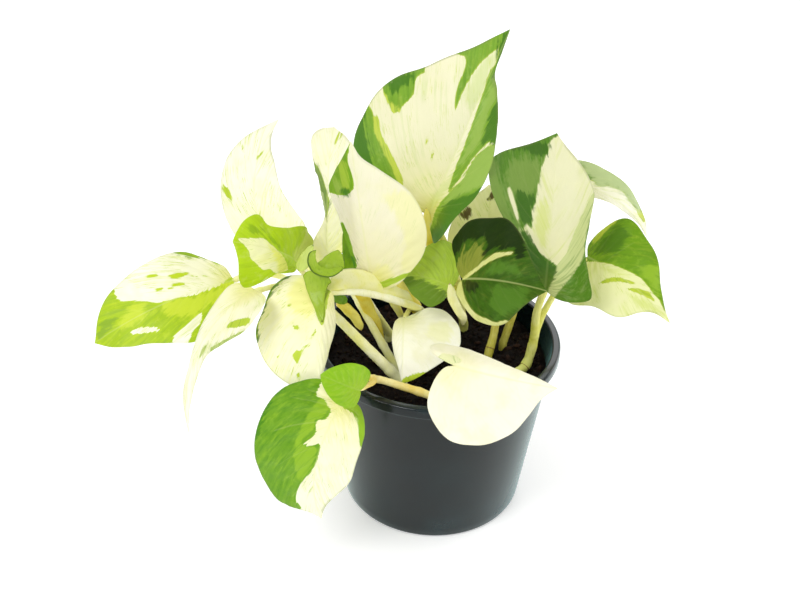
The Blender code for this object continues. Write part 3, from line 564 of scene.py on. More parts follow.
# Colour patches as closed outlines, in percent of the blade's length and of the half's width,
# with the left half above zero. A leaf is cream, or green where allGreen says so, and the
# tones lie on it in this order: wash, green, lime, grey, deep. Cream cuts through the greens.
patches = {
    "leaf_tall": {
        "green": [[(38, 110), (37, 90), (28, 79), (21, 64), (12, 44), (5, 35), (-10, 60), (-10, 110)],
            [(48, 87), (42, 76), (39, 70), (40, 65), (45, 62), (51, 58), (58.5, 62), (64, 56), (66, 65),
             (58, 90), (50, 100)],
            [(51, 16), (62, 23), (73, 24), (78, 28), (80, 40), (105, 20), (100, -2), (90, 2), (79, 12),
             (65, 16.5)],
            [(14, -16), (25, -10), (40, -8), (50, -6), (65, -2), (80, 0), (85, -30), (60, -80), (44, -90),
             (45, -62), (39.5, -47), (25.6, -31)],
            [(-20, -5), (-5, -8), (3, -6), (9, -10), (15, -20), (19.5, -30), (23.5, -42), (26, -55),
             (29, -72), (30, -110), (-30, -100), (-30, -10)]],
        "deep": [[(103, 1), (97, 3.5), (91, 4), (86, 1.5), (80, -2), (74, -10), (80, -30), (95, -20)],
            [(36, 110), (36, 92), (31, 92), (23, 82), (14, 70), (8, 72), (0, 110)],
            [(48, 80), (48, 74), (52, 70), (57, 63), (60, 67), (58, 75), (54, 85)],
            [(42, -42), (47, -38), (53.5, -34), (64, -33), (66, -60), (45, -90), (44, -62)],
            # this deep patch is painted shade on the right basal lobe, which faces away from the light
            [(-20, -8), (-5, -14), (3, -14), (7, -18), (13, -38), (18, -64), (22, -80), (20, -110),
             (-30, -100), (-30, -10)]],
        "lime": [[(35, 84), (28, 79), (20, 62), (10, 41), (5, 35), (11, 35), (20, 54), (28, 72), (34, 79)],
            [(47, 87), (44, 80), (39, 70), (40, 65), (44, 63), (43, 70)],
            [(50.5, 45), (51, 42), (52, 44), (51, 47)], [(25, 18), (29, 18.5), (33, 20), (29, 20)],
            [(30, 28), (33, 28.5), (36, 30), (33, 30)]],
        "grey": [[(28, -15), (45, -12), (62, -8), (74, -10), (68, -28), (52, -30), (40, -36)],
            [(30, -40), (36, -46), (42, -60), (42, -90), (25, -90), (20, -70), (15, -46), (7, -20),
             (10, -14), (16, -22), (21, -34)]],
        "wash": [[(56, 2), (60, 12), (70, 15), (80, 10), (90, 4), (97, -1), (80, -1), (65, -1)],
            [(2, 0), (12, -10), (22, -20), (30, -16), (20, -4), (8, 4)]]},
    "leaf_cream": {
        "green": [[(102, 0), (98, 3), (88, 10), (79, 6), (71, 5), (68, 8), (66.5, 20), (66, 30), (67, 48),
             (69, 65), (75, 100), (90, 90), (102, 30)],
            [(50, 50), (47, 42), (42, 38), (36, 34), (28, 30), (20, 26), (17, 30), (15, 60), (40, 80)]],
        "lime": [[(70, 13), (79, 12), (88, 17), (88, 33), (79, 36), (71, 33)],
            [(0, 0), (2, -3), (3, -16), (5, -37), (7, -62), (5, -60), (2, -40), (-1, -20), (-3, 0)]],
        "wash": [[(10, -50), (30, -60), (50, -50), (62, -40), (60, -90), (30, -110), (5, -80)],
            [(4, -5), (14, -12), (14, -30), (6, -34)]],
        "deep": [[(66.5, 15), (69, 16), (70, 28), (69, 40), (66.5, 38)],
            [(26, 31), (20, 27), (17, 31), (15, 60), (24, 60)]],
        "grey": [[(68, 40), (74, 39), (78, 46), (76, 60), (70, 60)]]},
    "leaf_behind_left": {
        "wash": [[(-20, 90), (4, 80), (8, 50), (2, 30), (-10, 30)],
            [(-10, -20), (6, -30), (20, -60), (10, -90), (-10, -60)]],
        "grey": [[(68, 90), (67, 55), (54, 15), (43, -6), (36, -5), (29, 5), (40, 50)]],
        "lime": [[(85, -12), (90, -14), (95, -20), (90, -20)],
            [(88, -24), (93, -25), (97, -30), (92, -29)]]},
    "leaf_upper_left": {
        "lime": [[(80, 78), (77.5, 68), (74.5, 52), (73.5, 50), (75, 60), (77.5, 73)],
            [(53, 105), (52, 82), (47, 72), (44.5, 70), (46, 80), (49, 92)],
            [(70, 8), (74, 2), (78, -6), (74, -3)]]},
    "leaf_folded_left": {
        "allGreen": True,
        "cream": [[(93, -10), (80, -15), (63, -22), (53, -13), (40, 0), (30, 14), (22, 36), (33, 50),
             (43, 55), (50, 50), (58, 55), (67, 48), (79, 32), (82, 18), (87, 5)]],
        # this grey patch is a painted highlight: the lighter grey-green where the right part of the folded
        # blade catches the light
        "grey": [[(12, -10), (0, -45), (-5, -75), (0, -95), (-30, -120), (-50, -60), (-20, -10)]],
        "wash": [[(20, 30), (28, 10), (40, -4), (52, -6), (50, 10), (42, 30), (36, 52), (26, 52)]],
        "deep": [[(85, -38), (70, -30), (62, -30), (66, -42), (80, -47)],
            [(62, -24), (50, -20), (38, -10), (42, -20), (55, -30)]]},
    "leaf_hanging_left": {
        "wash": [[(-20, -10), (-10, -50), (10, -56), (24, -40), (26, -16), (10, -6)]],
        "deep": [[(-20, -60), (-9, -70), (0, -79), (10, -87), (16, -90), (24, -94), (36, -96.5), (50, -97),
             (55, -120), (0, -130), (-30, -100)]],
        "green": [[(-20, -38), (-5, -34), (10, -18), (23, -8), (32, 0), (33, 10), (7, 10), (-5, 10),
             (-20, -10)]],
        "lime": [[(37, -4), (40, -7), (47, -13), (48, -12), (42, -4)],
            [(53, -10), (54, -20), (59, -28), (62, -38), (65, -33), (68, -30), (66, -27), (60, -24),
             (56, -19)], [(58, -30), (62, -36), (66, -35), (70, -30), (66, -28), (61, -27)],
            [(36, -34), (37, -40), (40, -36), (39, -30)], [(62, -60), (64, -63), (66, -61), (64, -59)],
            [(78, -28), (80, -31), (83, -28), (80, -26)], [(16, -50), (18, -53), (20, -50), (18, -48)]]},
    "leaf_far_left": {
        "green": [[(-2, 0), (9, 3), (18, 6), (29, 7), (40, -2), (51, -6), (59, -25), (68, -40), (73, -55),
             (74, -90), (105, -60), (105, 80), (0, 120)]],
        "lime": [[(26, -43), (32, -50), (38, -52), (36, -43), (30, -40)],
            [(43, -60), (47, -68), (51, -69), (49, -62)], [(30, -24), (36, -30), (42, -27), (36, -24)],
            [(44, -33), (47, -36), (50, -33), (47, -30)], [(14, -24), (22, -30), (25, -36), (20, -28)]],
        "deep": [[(78, -24), (86, -30), (93, -20), (96, 0), (90, -5), (82, -12)],
            [(31, -96), (22, -78), (15, -66), (10, -56), (6, -45), (0, -90), (20, -120), (35, -110)]],
        "grey": [[(-2, 2), (9, 5), (18, 8), (29, 10), (40, 2), (48, 0), (50, 20), (42, 34), (34, 50),
             (25, 40), (10, 30)], [(60, -20), (70, -24), (78, -12), (80, 5), (72, 10), (62, 4)]],
        "cream": [[(29, 46), (40, 62), (52, 75), (55, 100), (46, 100), (38, 78), (31, 66)],
            [(58, 38), (70, 22), (76, 22), (70, 34), (60, 46)]]},
    "leaf_drooping_left": {
        "lime": [[(29, 38), (25, 42), (21, 65), (19, 90), (22, 95), (26, 75), (29, 50)]],
        "grey": [[(46, 36), (42, 46), (37, 60), (30, 82), (27, 95), (30, 120), (50, 80)],
            [(44, 20), (46, 13), (53, 14), (52, 20)]]},
    "leaf_over_rim": {
        "green": [[(-30, -45), (0, -45), (4, -33), (6.5, -18), (7, -12), (10, -8), (15, -11), (17, -20),
             (21, -21), (24, -16), (28.5, -18), (35, -28), (35.5, -24), (34, -12), (32, -4), (37, 1),
             (46, 0), (55, -6), (63, -18), (70, -26), (77, -31), (80, -31), (88, -27), (95, -60),
             (70, -130), (0, -130)]],
        "lime": [[(5, -33), (8, -15), (15, -16), (17, -25), (24, -22), (33, -32), (36, -24), (35, -10),
             (38, -4), (47, -5), (56, -12), (63, -26), (56, -30), (40, -40), (20, -40)],
            [(-10, -2), (2, 5), (3, 20), (3, 40), (7, 58), (15, 72), (20, 90), (-10, 100)]],
        "deep": [[(-10, -60), (10, -96), (35, -102), (60, -98), (80, -70), (80, -120), (40, -130),
             (0, -120)]]},
    "leaf_small": {"allGreen": True},
    "leaf_front_right": {
        "lime": [[(-22, 2), (-12, 0), (0, 5), (4, 12), (-6, 18), (-20, 14)]]},
    "leaf_centre_front": {
        "lime": [[(102, -5), (94, 2), (91, 8), (89.5, 15), (86, 28), (84, 40), (81, 50), (80, 62), (90, 70),
             (105, 30)]],
        "green": [[(87, 32), (89, 34), (89, 48), (87, 50)]],
        "wash": [[(10, 45), (4, 70), (20, 85), (40, 72), (36, 48), (22, 40)]]},
    "leaf_dark_right": {
        "allGreen": True,
        "deep": [[(24, 40), (30, 46), (42, 50), (56, 52), (64, 40), (68, 60), (60, 110), (-30, 120),
             (-30, 50), (-12, 44), (0, 62), (10, 62), (20, 64), (28, 60)],
            [(5, -6), (14, -5), (25, -10), (24, -30), (14, -30), (6, -18)]],
        "lime": [[(-10, 10), (-10, 33), (-3, 48), (0, 58), (2, 54), (-1, 42), (4, 45), (7.5, 48), (14, 58),
             (16.5, 59), (20, 53), (26, 61), (22, 52), (23.5, 46), (26.5, 46), (25, 37), (23, 30), (12, 14),
             (0, 0)]],
        "grey": [[(45, -15), (60, -10), (80, -12), (78, -50), (60, -72), (46, -60)],
            [(30, 10), (50, 16), (66, 16), (60, 30), (45, 28), (34, 20)]],
        "cream": [[(0, 3), (12, 15), (21.5, 25), (29, 35), (34, 40), (39, 44), (48, 45), (57, 49), (56, 44),
             (49, 40), (41, 36), (31, 28), (19, 15), (4, 0)],
            [(-5, -3), (1, -10), (8, -32), (15, -52), (25, -71), (36, -84), (47, -90), (57, -91), (70, -84),
             (75, -120), (20, -120), (-20, -60)]]},
    "leaf_big_right": {
        "green": [[(102, 0), (94, 8), (87.5, 13), (82, 13), (77, 17), (70, 19), (61, 22), (55, 22),
             (50, 26), (46, 26.5), (43, 25), (37, 25), (38.5, 30), (40, 34), (36, 37), (38, 44), (28, 23),
             (21, 5), (17, -12), (14, -17), (8, -13), (2, -8), (-5, -2), (-10, 50), (30, 90), (100, 120)],
            [(56, -78), (48, -70), (41, -62), (31, -60), (22, -60), (13, -47), (2, -26), (-5, -15),
             (-20, -30), (-20, -110), (56, -110)]],
        "grey": [[(85, 40), (80, 33), (78.5, 20), (70, 20), (60, 25), (58, 34), (59, 47), (60, 63),
             (68, 67), (75.5, 63), (79, 53), (79.5, 44)],
            [(78, 86), (72, 80), (62, 72), (52, 60), (42, 50), (36, 42), (32, 50), (50, 90), (70, 120)]],
        "deep": [[(36, 36), (27, 20), (20, 4), (15, -13), (6, -12), (0, -4), (-4, 8), (4, 14), (14, 24),
             (22, 33), (30, 42)],
            [(60, 48), (58, 34), (60, 26), (50, 27), (43, 26), (40, 33), (43, 42), (50, 48)],
            [(84, 14), (92, 12), (92, 50), (88, 80), (84, 78), (86, 45)]],
        "cream": [[(60, 64), (61, 60), (55, 54), (48, 48), (42, 44), (43, 48), (49, 54), (55, 60)],
            [(35, 41), (26, 31.5), (18, 24), (8, 14), (7, 16), (17, 27), (25, 35)]],
        "wash": [[(56, 12), (50, 19), (40, 20), (30, 14), (26, 6), (38, 2), (50, 4)]],
        "lime": [[(62, -72), (50, -56), (46, -50), (36, -40), (25, -31), (16, -17), (9, -12), (0, -5),
             (-5, -15), (2, -26), (13, -47), (22, -60), (31, -62), (41, -63), (48, -70), (54, -76)]]},
    "leaf_arching_right": {
        "grey": [[(10, 120), (15, 75), (22, 50), (30, 20), (38, 38), (50, 45), (60, 35), (70, 30), (85, 60),
             (100, 20), (100, 80), (70, 130)]],
        "green": [[(20, 34), (26, 30), (30, 45), (28, 75), (20, 75)]],
        "lime": [[(72, 35), (76, 20), (85, 20), (84, 40), (78, 55)]]},
    "leaf_far_right": {
        "green": [[(-10, -15), (4, -10), (8, -4), (15.5, 4), (22, 9), (30, 13), (39, 17), (52, 21),
             (60, 19), (70, 16), (78, 14), (90, 10), (80, 60), (30, 140), (-30, 120)]],
        "deep": [[(0, 18), (12, 20), (20, 40), (18, 80), (5, 80)]],
        "grey": [[(48, 26), (62, 24), (75, 22), (70, 40), (56, 58), (48, 50)]],
        "lime": [[(-4, 28), (-1, 45), (0, 70), (2, 95), (-2, 95), (-5, 70), (-7, 40)],
            [(26, -38), (27, -28), (31, -14), (37, -3), (45, 4), (52, 6), (47, -2), (40, -10), (34, -20),
             (29, -32)], [(48, -14), (54, -2), (60, 5), (68, 11), (76, 5), (69, 2), (60, -5)]],
        "wash": [[(50, -20), (60, -12), (75, -2), (90, 2), (80, -14), (65, -24)],
            [(16, -10), (20, 0), (30, 6), (42, 10), (36, 0), (26, -8)]]},
    "leaf_behind_centre": {
        "deep": [[(78, 7), (82, 0), (88, -10), (85, -14), (81, -18), (78.5, -8), (77, 2)],
            [(50, 62), (56, 50), (62, 44), (64, 50), (60, 62), (56, 74)]]},
    "leaf_green_centre": {
        "allGreen": True,
        "deep": [[(100, 3), (80, 4), (68, 15), (55, 14), (45, 16), (33, 20), (22, 26), (13, 24), (8, 60),
             (10, 120), (90, 100)]],
        "lime": [[(0, 2), (8, 5), (8, 30), (3, 40), (0, 20)]]},
}

# Tones of a blade, and how much each leaf shows of the small things: jag is how far the
# borders between tones run out along the ribs, in mm, fringe the width of the lighter line
# inside a green border, and the rest are shares: flecks of green specks, streaky of the
# washed streaks in the cream, glow of the yellow foot, mottled of darker and lighter blots
# in the greens, partly painted shade and highlights of puckers, margin of the dark outer
# line. shine is the roughness, gloss the reflection.
plainTones = {
    "cream": (252, 250, 222), "green": (116, 158, 40), "lime": (184, 206, 58), "deep": (60, 108, 20),
    "grey": (174, 196, 104), "rib": (226, 232, 150), "foot": (220, 218, 70), "wash": (222, 230, 128),
    "jag": 0.3, "fringe": 0.35, "flecks": 0.6, "streaky": 0.45, "glow": 0.8, "veins": 0.05, "midrib": 0.25,
    "mottled": 0.3, "margin": 0.25, "shine": 0.42, "gloss": 0.2}
leafTones = {
    "leaf_tall": {"cream": (240, 237, 200), "green": (124, 168, 46), "deep": (66, 118, 20),
        "grey": (154, 186, 84), "lime": (200, 214, 80), "wash": (210, 222, 152), "streaky": 0.6,
        "glow": 1.0, "margin": 0.6},
    "leaf_cream": {"cream": (241, 237, 208), "green": (118, 164, 18), "deep": (60, 122, 8),
        "lime": (170, 200, 56), "grey": (156, 188, 70), "wash": (240, 238, 172), "streaky": 0.12,
        "flecks": 0.2, "glow": 0.9},
    "leaf_behind_left": {"cream": (252, 250, 220), "green": (158, 192, 60), "grey": (116, 142, 74),
        "lime": (200, 216, 74), "wash": (254, 252, 176), "glow": 0.3},
    "leaf_upper_left": {"cream": (253, 251, 228), "lime": (190, 212, 40), "flecks": 1.0, "streaky": 0.6,
        "margin": 0.4},
    "leaf_folded_left": {"green": (182, 216, 8), "deep": (144, 184, 4), "grey": (204, 220, 104),
        "cream": (246, 248, 186), "wash": (234, 238, 72), "margin": 0.1, "glow": 0.1},
    "leaf_hanging_left": {"cream": (251, 249, 214), "green": (176, 202, 66), "lime": (190, 212, 54),
        "deep": (86, 128, 34), "wash": (246, 244, 150), "flecks": 0.8, "streaky": 0.45, "margin": 0.35,
        "midrib": 0.1},
    "leaf_far_left": {"cream": (253, 252, 232), "green": (170, 202, 26), "lime": (196, 218, 40),
        "grey": (206, 224, 56), "deep": (138, 174, 44), "flecks": 1.0, "streaky": 0.6, "jag": 0.6,
        "mottled": 1.0},
    "leaf_drooping_left": {"cream": (253, 251, 228), "lime": (190, 212, 58), "grey": (196, 210, 132),
        "flecks": 0.8},
    "leaf_over_rim": {"green": (112, 162, 26), "lime": (146, 188, 38), "deep": (66, 130, 8),
        "grey": (142, 184, 52), "jag": 0.5, "mottled": 1.0, "margin": 0.45, "veins": 0.12},
    "leaf_small": {"midrib": 0.08, "green": (140, 190, 24), "deep": (104, 158, 14), "grey": (168, 204, 62),
        "mottled": 0.3, "margin": 0.1},
    "leaf_front_right": {"cream": (253, 249, 226), "flecks": 0.0, "streaky": 0.06, "lime": (244, 244, 194),
        "glow": 0.35, "margin": 0.1},
    "leaf_centre_front": {"cream": (255, 254, 242), "lime": (192, 214, 54), "wash": (246, 246, 196),
        "flecks": 0.2, "streaky": 0.2, "glow": 0.6},
    "leaf_dark_right": {"green": (60, 98, 14), "deep": (26, 44, 6), "grey": (84, 126, 34),
        "lime": (140, 148, 56), "cream": (208, 210, 134), "glow": 0.3, "shine": 0.5, "midrib": 0.35,
        "veins": 0.02, "gloss": 0.08, "margin": 0.3},
    "leaf_big_right": {"cream": (231, 230, 188), "green": (88, 134, 32), "deep": (60, 104, 20),
        "grey": (124, 154, 68), "lime": (212, 220, 152), "wash": (210, 220, 124), "streaky": 0.8,
        "flecks": 0.2, "margin": 0.4, "glow": 0.5, "midrib": 0.08},
    "leaf_arching_right": {"cream": (252, 251, 230), "grey": (196, 212, 152), "green": (122, 156, 84),
        "lime": (206, 218, 84), "streaky": 0.6},
    "leaf_far_right": {"cream": (238, 241, 180), "green": (110, 156, 10), "deep": (80, 126, 4),
        "grey": (150, 188, 44), "lime": (196, 212, 64), "wash": (212, 224, 120), "streaky": 0.9,
        "margin": 0.4, "glow": 0.35},
    "leaf_behind_centre": {"cream": (242, 240, 190), "deep": (78, 56, 24), "green": (190, 196, 120),
        "wash": (228, 228, 144)},
    "leaf_green_centre": {"green": (176, 206, 66), "deep": (92, 128, 24), "margin": 0.1, "glow": 0.2,
        "midrib": 0.1},
}
toneColours = ("Cream", "Wash", "Green", "Lime", "Grey", "Deep", "Rib", "Foot")
toneAmounts = ("Jag", "Fringe", "Flecks", "Streaky", "Glow", "Veins", "Midrib", "Mottled", "Margin", "Shine")
farAway = 40.0   # mm, deeper than any patch

bladeShape = {
    "rows": 96, "columns": 22, "halfThickness": 0.3, "ribLean": 2.6, "ribCurve": 1.35, "foldShare": 0.2,
    "veins": 12, "veinDepth": 0.1, "veinWidth": 0.6, "midribDip": 0.22, "midribRidge": 0.75, "midribWidth": 0.9,
    "lumpSize": 34.0, "puckerSize": 7.0, "columnPower": 1.15,
}


# A blade's axes: base, direction to the tip, to the face and to the left, and length.
def bladeAxes(leaf):
    base, tip = np.array(leaf["base"], float), np.array(leaf["tip"], float)
    length = np.linalg.norm(tip - base)
    along = (tip - base) / length
    face = np.array(leaf["face"], float)
    up = unit(face - face @ along * along)
    return base, along, up, np.cross(up, along), length


# The outline of a half at t, as shares of the length and of the half's width, and its length
# in mm: a smooth curve from the notch through the points to the tip.
def outlineAt(percents, t, length, width):
    curve = curveThrough(np.array([(0, 0), *percents, (100, 0)]) / 100, np.linspace(0, 1, 400))
    way = wayAlong(curve * (length, width))
    share = way / way[-1]
    return np.interp(t, share, curve[:, 0]), np.clip(np.interp(t, share, curve[:, 1]), 0, None), way[-1]


# The middle surface of a blade over t, from notch to tip along the outline, and s, from the
# right edge at -1 over the midrib at 0 to the left edge at 1. A rib of constant t leaves the
# midrib at t to the power ribLean and bends to the outline's point. The midrib is a cubic
# bowed by rise and sway. Across it the half turns by its fold over a short width and then
# goes on by its curl, with ripples that grow towards the edge. Returned with it, in mm:
# place along and across the blade, and the number of the streak, which is the same along
# lines that lean from the ribs to the tip.
def bladeSurface(leaf, t, s):
    base, along, up, left, length = bladeAxes(leaf)
    half = np.where(s >= 0, 0, 1)
    out = np.abs(s)
    width = np.array(leaf["width"], float)[half]
    outlines = [outlineAt(leaf[side], t, length, leaf["width"][k]) for k, side in enumerate(("left", "right"))]
    edgeX, edgeY, outlineLength = [np.where(s >= 0, *pair) for pair in zip(*outlines)]
    foot = t ** bladeShape["ribLean"]
    x = foot + (edgeX - foot) * out ** bladeShape["ribCurve"]
    reach = edgeY * out * width

    m = np.clip(x, 0, 1)[..., None]
    p0, p3 = base, base + along * length
    p1 = base + along * length / 3 + up * leaf["rise"][0] + left * leaf["sway"][0]
    p2 = base + along * length * 2 / 3 + up * leaf["rise"][1] + left * leaf["sway"][1]
    rib = p0 * (1 - m) ** 3 + 3 * p1 * m * (1 - m) ** 2 + 3 * p2 * m * m * (1 - m) + p3 * m ** 3
    run = unit((p1 - p0) * (1 - m) ** 2 + 2 * (p2 - p1) * m * (1 - m) + (p3 - p2) * m * m)
    rib = rib + run * length * np.minimum(x, 0)[..., None]
    side = unit(left - (run @ left)[..., None] * run)
    normal = np.cross(run, side)

    fold = np.radians(np.array(leaf["fold"], float)[half]) + 1e-5
    curl = np.radians(np.array(leaf["curl"], float)[half]) + 1e-5
    bendWidth = bladeShape["foldShare"] * width
    first = np.minimum(reach, bendWidth)
    turn = fold * first / bendWidth
    bend = fold + curl * (reach - first) / width
    across = bendWidth / fold * np.sin(turn) + width / curl * (np.sin(bend) - np.sin(fold))
    lift = bendWidth / fold * (1 - np.cos(turn)) + width / curl * (np.cos(fold) - np.cos(bend))
    ripple = np.sin(fullTurn * leaf["waves"] * x + 1.3 * half) * out ** 2 * np.sqrt(edgeY)
    lift = lift + leaf["wave"] * ripple
    points = rib + side * (np.sign(s) * across)[..., None] + normal * lift[..., None]
    return points, x * length, np.sign(s) * reach, t * outlineLength - leaf["lean"] * reach


# Signed distance in mm from places on the blade to a closed smooth patch, positive inside: the
# distance to its nearest short side, and inside where its sides cross the line to one side of
# the place an odd number of times.
def patchDistance(place, patch, length, widths):
    closed = np.array([patch[-1], *patch, *patch[:2]]) / 100
    spans = len(closed) - 1
    line = curveThrough(closed, np.linspace(1 / spans, 1 - 1 / spans, len(patch) * 5 + 1))
    line = line * np.stack([np.full(len(line), length), np.where(line[:, 1] >= 0, widths[0], widths[1])], -1)
    a, b = line[:-1], line[1:]
    span = b - a
    offset = place[:, None] - a[None]
    share = np.clip((offset * span).sum(-1) / np.maximum((span ** 2).sum(-1), 1e-9), 0, 1)
    distance = np.linalg.norm(offset - share[..., None] * span, axis=-1).min(1)
    crosses = (a[None, :, 1] > place[:, None, 1]) != (b[None, :, 1] > place[:, None, 1])
    steep = np.where(np.abs(span[:, 1]) < 1e-9, 1e-9, span[:, 1])
    before = place[:, None, 0] < a[:, 0] + (place[:, None, 1] - a[:, 1]) / steep * span[:, 0]
    inside = (crosses & before).sum(1) % 2 == 1
    return np.where(inside, distance, -distance)


# How far each place lies inside each tone, in mm: the most of its patches. Every green tone
# counts as green, and cream cuts through them all.
def toneFields(own, leaf, alongMm, acrossMm):
    place = np.stack([alongMm.ravel(), acrossMm.ravel()], -1)
    length = bladeAxes(leaf)[4]
    fields = {}
    for tone in ("green", "lime", "deep", "grey", "wash", "cream"):
        fields[tone] = np.full(len(place), -farAway)
        for patch in own.get(tone, []):
            fields[tone] = np.maximum(fields[tone], patchDistance(place, patch, length, leaf["width"]))
    if own.get("allGreen"):
        fields["green"][:] = farAway
    cream = fields.pop("cream")
    for tone in ("lime", "deep", "grey"):
        fields["green"] = np.maximum(fields["green"], fields[tone])
    for tone in ("green", "lime", "deep", "grey"):
        fields[tone] = np.minimum(fields[tone], -cream)
    return {tone: field.reshape(alongMm.shape) for tone, field in fields.items()}


# A finished blade: the middle surface, moved out along its normal to a top and an underside
# that meet in one edge. The top sinks along the midrib and the side veins and swells
# between them, both skins follow broad lumps and fine puckers, and the underside has the
# midrib as a round ridge that fades to the tip.
def buildLeaf(name, own, material):
    leaf = {**plainLeaf, **own}
    shape = bladeShape
    rows, columns = shape["rows"], shape["columns"]
    even = np.linspace(0, 1, rows + 1)[:, None]
    t = 0.2 * even + 0.8 * (0.5 - 0.5 * np.cos(math.pi * even))   # rows lie closer at the notch and the tip
    s = np.linspace(-1, 1, 2 * columns + 1)[None, :]
    s = np.sign(s) * np.abs(s) ** shape["columnPower"]   # columns lie closer at the midrib
    out = np.abs(s)
    middle, alongMm, acrossMm, ribMm = bladeSurface(leaf, t, s)
    length = bladeAxes(leaf)[4]

    rise, spread = np.gradient(middle, axis=0), np.gradient(middle, axis=1)
    normals = np.cross(rise, spread)
    normals[0], normals[-1] = normals[1], normals[-2]
    ribStep = np.linalg.norm(normals, axis=-1) / np.maximum(np.linalg.norm(spread, axis=-1), 1e-6)
    ribStep = ribStep / np.gradient(t, axis=0)   # mm between ribs for one unit of t
    normals = unit(normals)

    place = np.stack([alongMm, acrossMm], -1)
    seed = sum(map(ord, name))
    phase = t * shape["veins"] + 0 * s
    gap = np.abs(phase - np.round(phase)) / shape["veins"] * ribStep   # mm to the nearest side vein
    inner = plateau(out, 0.0, 0.16, 0.72, 1.0) * plateau(t, 0.02, 0.12, 0.88, 1.0)
    groove = -shape["veinDepth"] * bell(gap, shape["veinWidth"]) * inner
    quilt = leaf["quilt"] * (0.5 - 0.5 * np.cos(fullTurn * phase)) * inner
    lumps = leaf["dish"] * waveNoise(place, shape["lumpSize"], seed)
    puckers = leaf["pucker"] * waveNoise(place, shape["puckerSize"], seed + 1, 2)
    dish = (lumps + puckers) * smoothStep(0.0, 0.5, out) * plateau(t, 0.0, 0.1, 0.8, 1.0)
    taper = np.clip(1 - alongMm / length, 0, 1)
    midWidth = shape["midribWidth"] * (0.35 + 0.65 * taper)
    nearMidrib = bell(acrossMm, midWidth)
    dip = -shape["midribDip"] * nearMidrib * (0.3 + 0.7 * taper)
    ridge = shape["midribRidge"] * nearMidrib * taper ** 0.8 * smoothStep(0.0, 0.04, t)
    ends = np.sqrt(np.clip(t * 40, 0, 1) * np.clip((1 - t) * 40, 0, 1))
    edge = np.sqrt(np.maximum(1 - out ** 6, 0)) * shape["halfThickness"] * ends
    top = middle + normals * (edge + dish + groove + quilt + dip)[..., None]
    bottom = middle + normals * (dish - edge + 0.8 * groove + 0.6 * quilt - ridge)[..., None]
    rim = middle + normals * (dish + groove + quilt)[..., None]
    top[:, [0, -1]] = rim[:, [0, -1]]

    count = 2 * columns + 1
    upper = np.arange((rows - 1) * count).reshape(rows - 1, count)
    under = upper.copy()   # shares the two edge columns with the top
    under[:, 1:-1] = upper.size + np.arange((rows - 1) * (count - 2)).reshape(rows - 1, count - 2)
    notch = upper.size + (rows - 1) * (count - 2)

    # One row of values for each vertex: the top, the underside without its edges, notch and tip.
    def gather(above, below=None):
        below = above if below is None else below
        parts = above[1:-1], below[1:-1, 1:-1], above[:1, columns], above[-1:, columns]
        return np.concatenate([part.reshape((-1,) + above.shape[2:]) for part in parts])

    vertices = gather(top, bottom)
    faces = [gridQuads(upper), gridQuads(under, flip=True),
             fan(notch, upper[0]), fan(notch, under[0], flip=True),
             fan(notch + 1, upper[-1], flip=True), fan(notch + 1, under[-1])]
    fields = toneFields(patches.get(name, {}), leaf, alongMm, acrossMm)
    values = {tone: gather(field) for tone, field in fields.items()}
    values["under"] = gather(0 * gap, 0 * gap + 1)
    values["veinGap"] = gather(gap + 3 * (1 - inner))
    values["midribGap"] = gather(np.abs(acrossMm) - 0.55 * midWidth, np.abs(acrossMm) - 0.8 * midWidth)
    halfWidth = np.where(s >= 0, np.abs(acrossMm[:, -1:]), np.abs(acrossMm[:, :1]))
    values["marginGap"] = gather(halfWidth * (1 - out) + 2 - 2 * plateau(t, 0.02, 0.1, 0.93, 1.0))
    creased = np.zeros(len(vertices), bool)
    creased[upper[:, [0, -1]]] = True
    creased[notch:] = True
    corners = np.concatenate([faceSet.ravel() for faceSet in faces])
    maps = {"veins": gather(np.stack([ribMm, acrossMm], -1))[corners] / 100,
            "blade": gather(place)[corners] / 100}
    makePiece(name + "_blade", vertices, faces, material, values, maps, [name], creased)
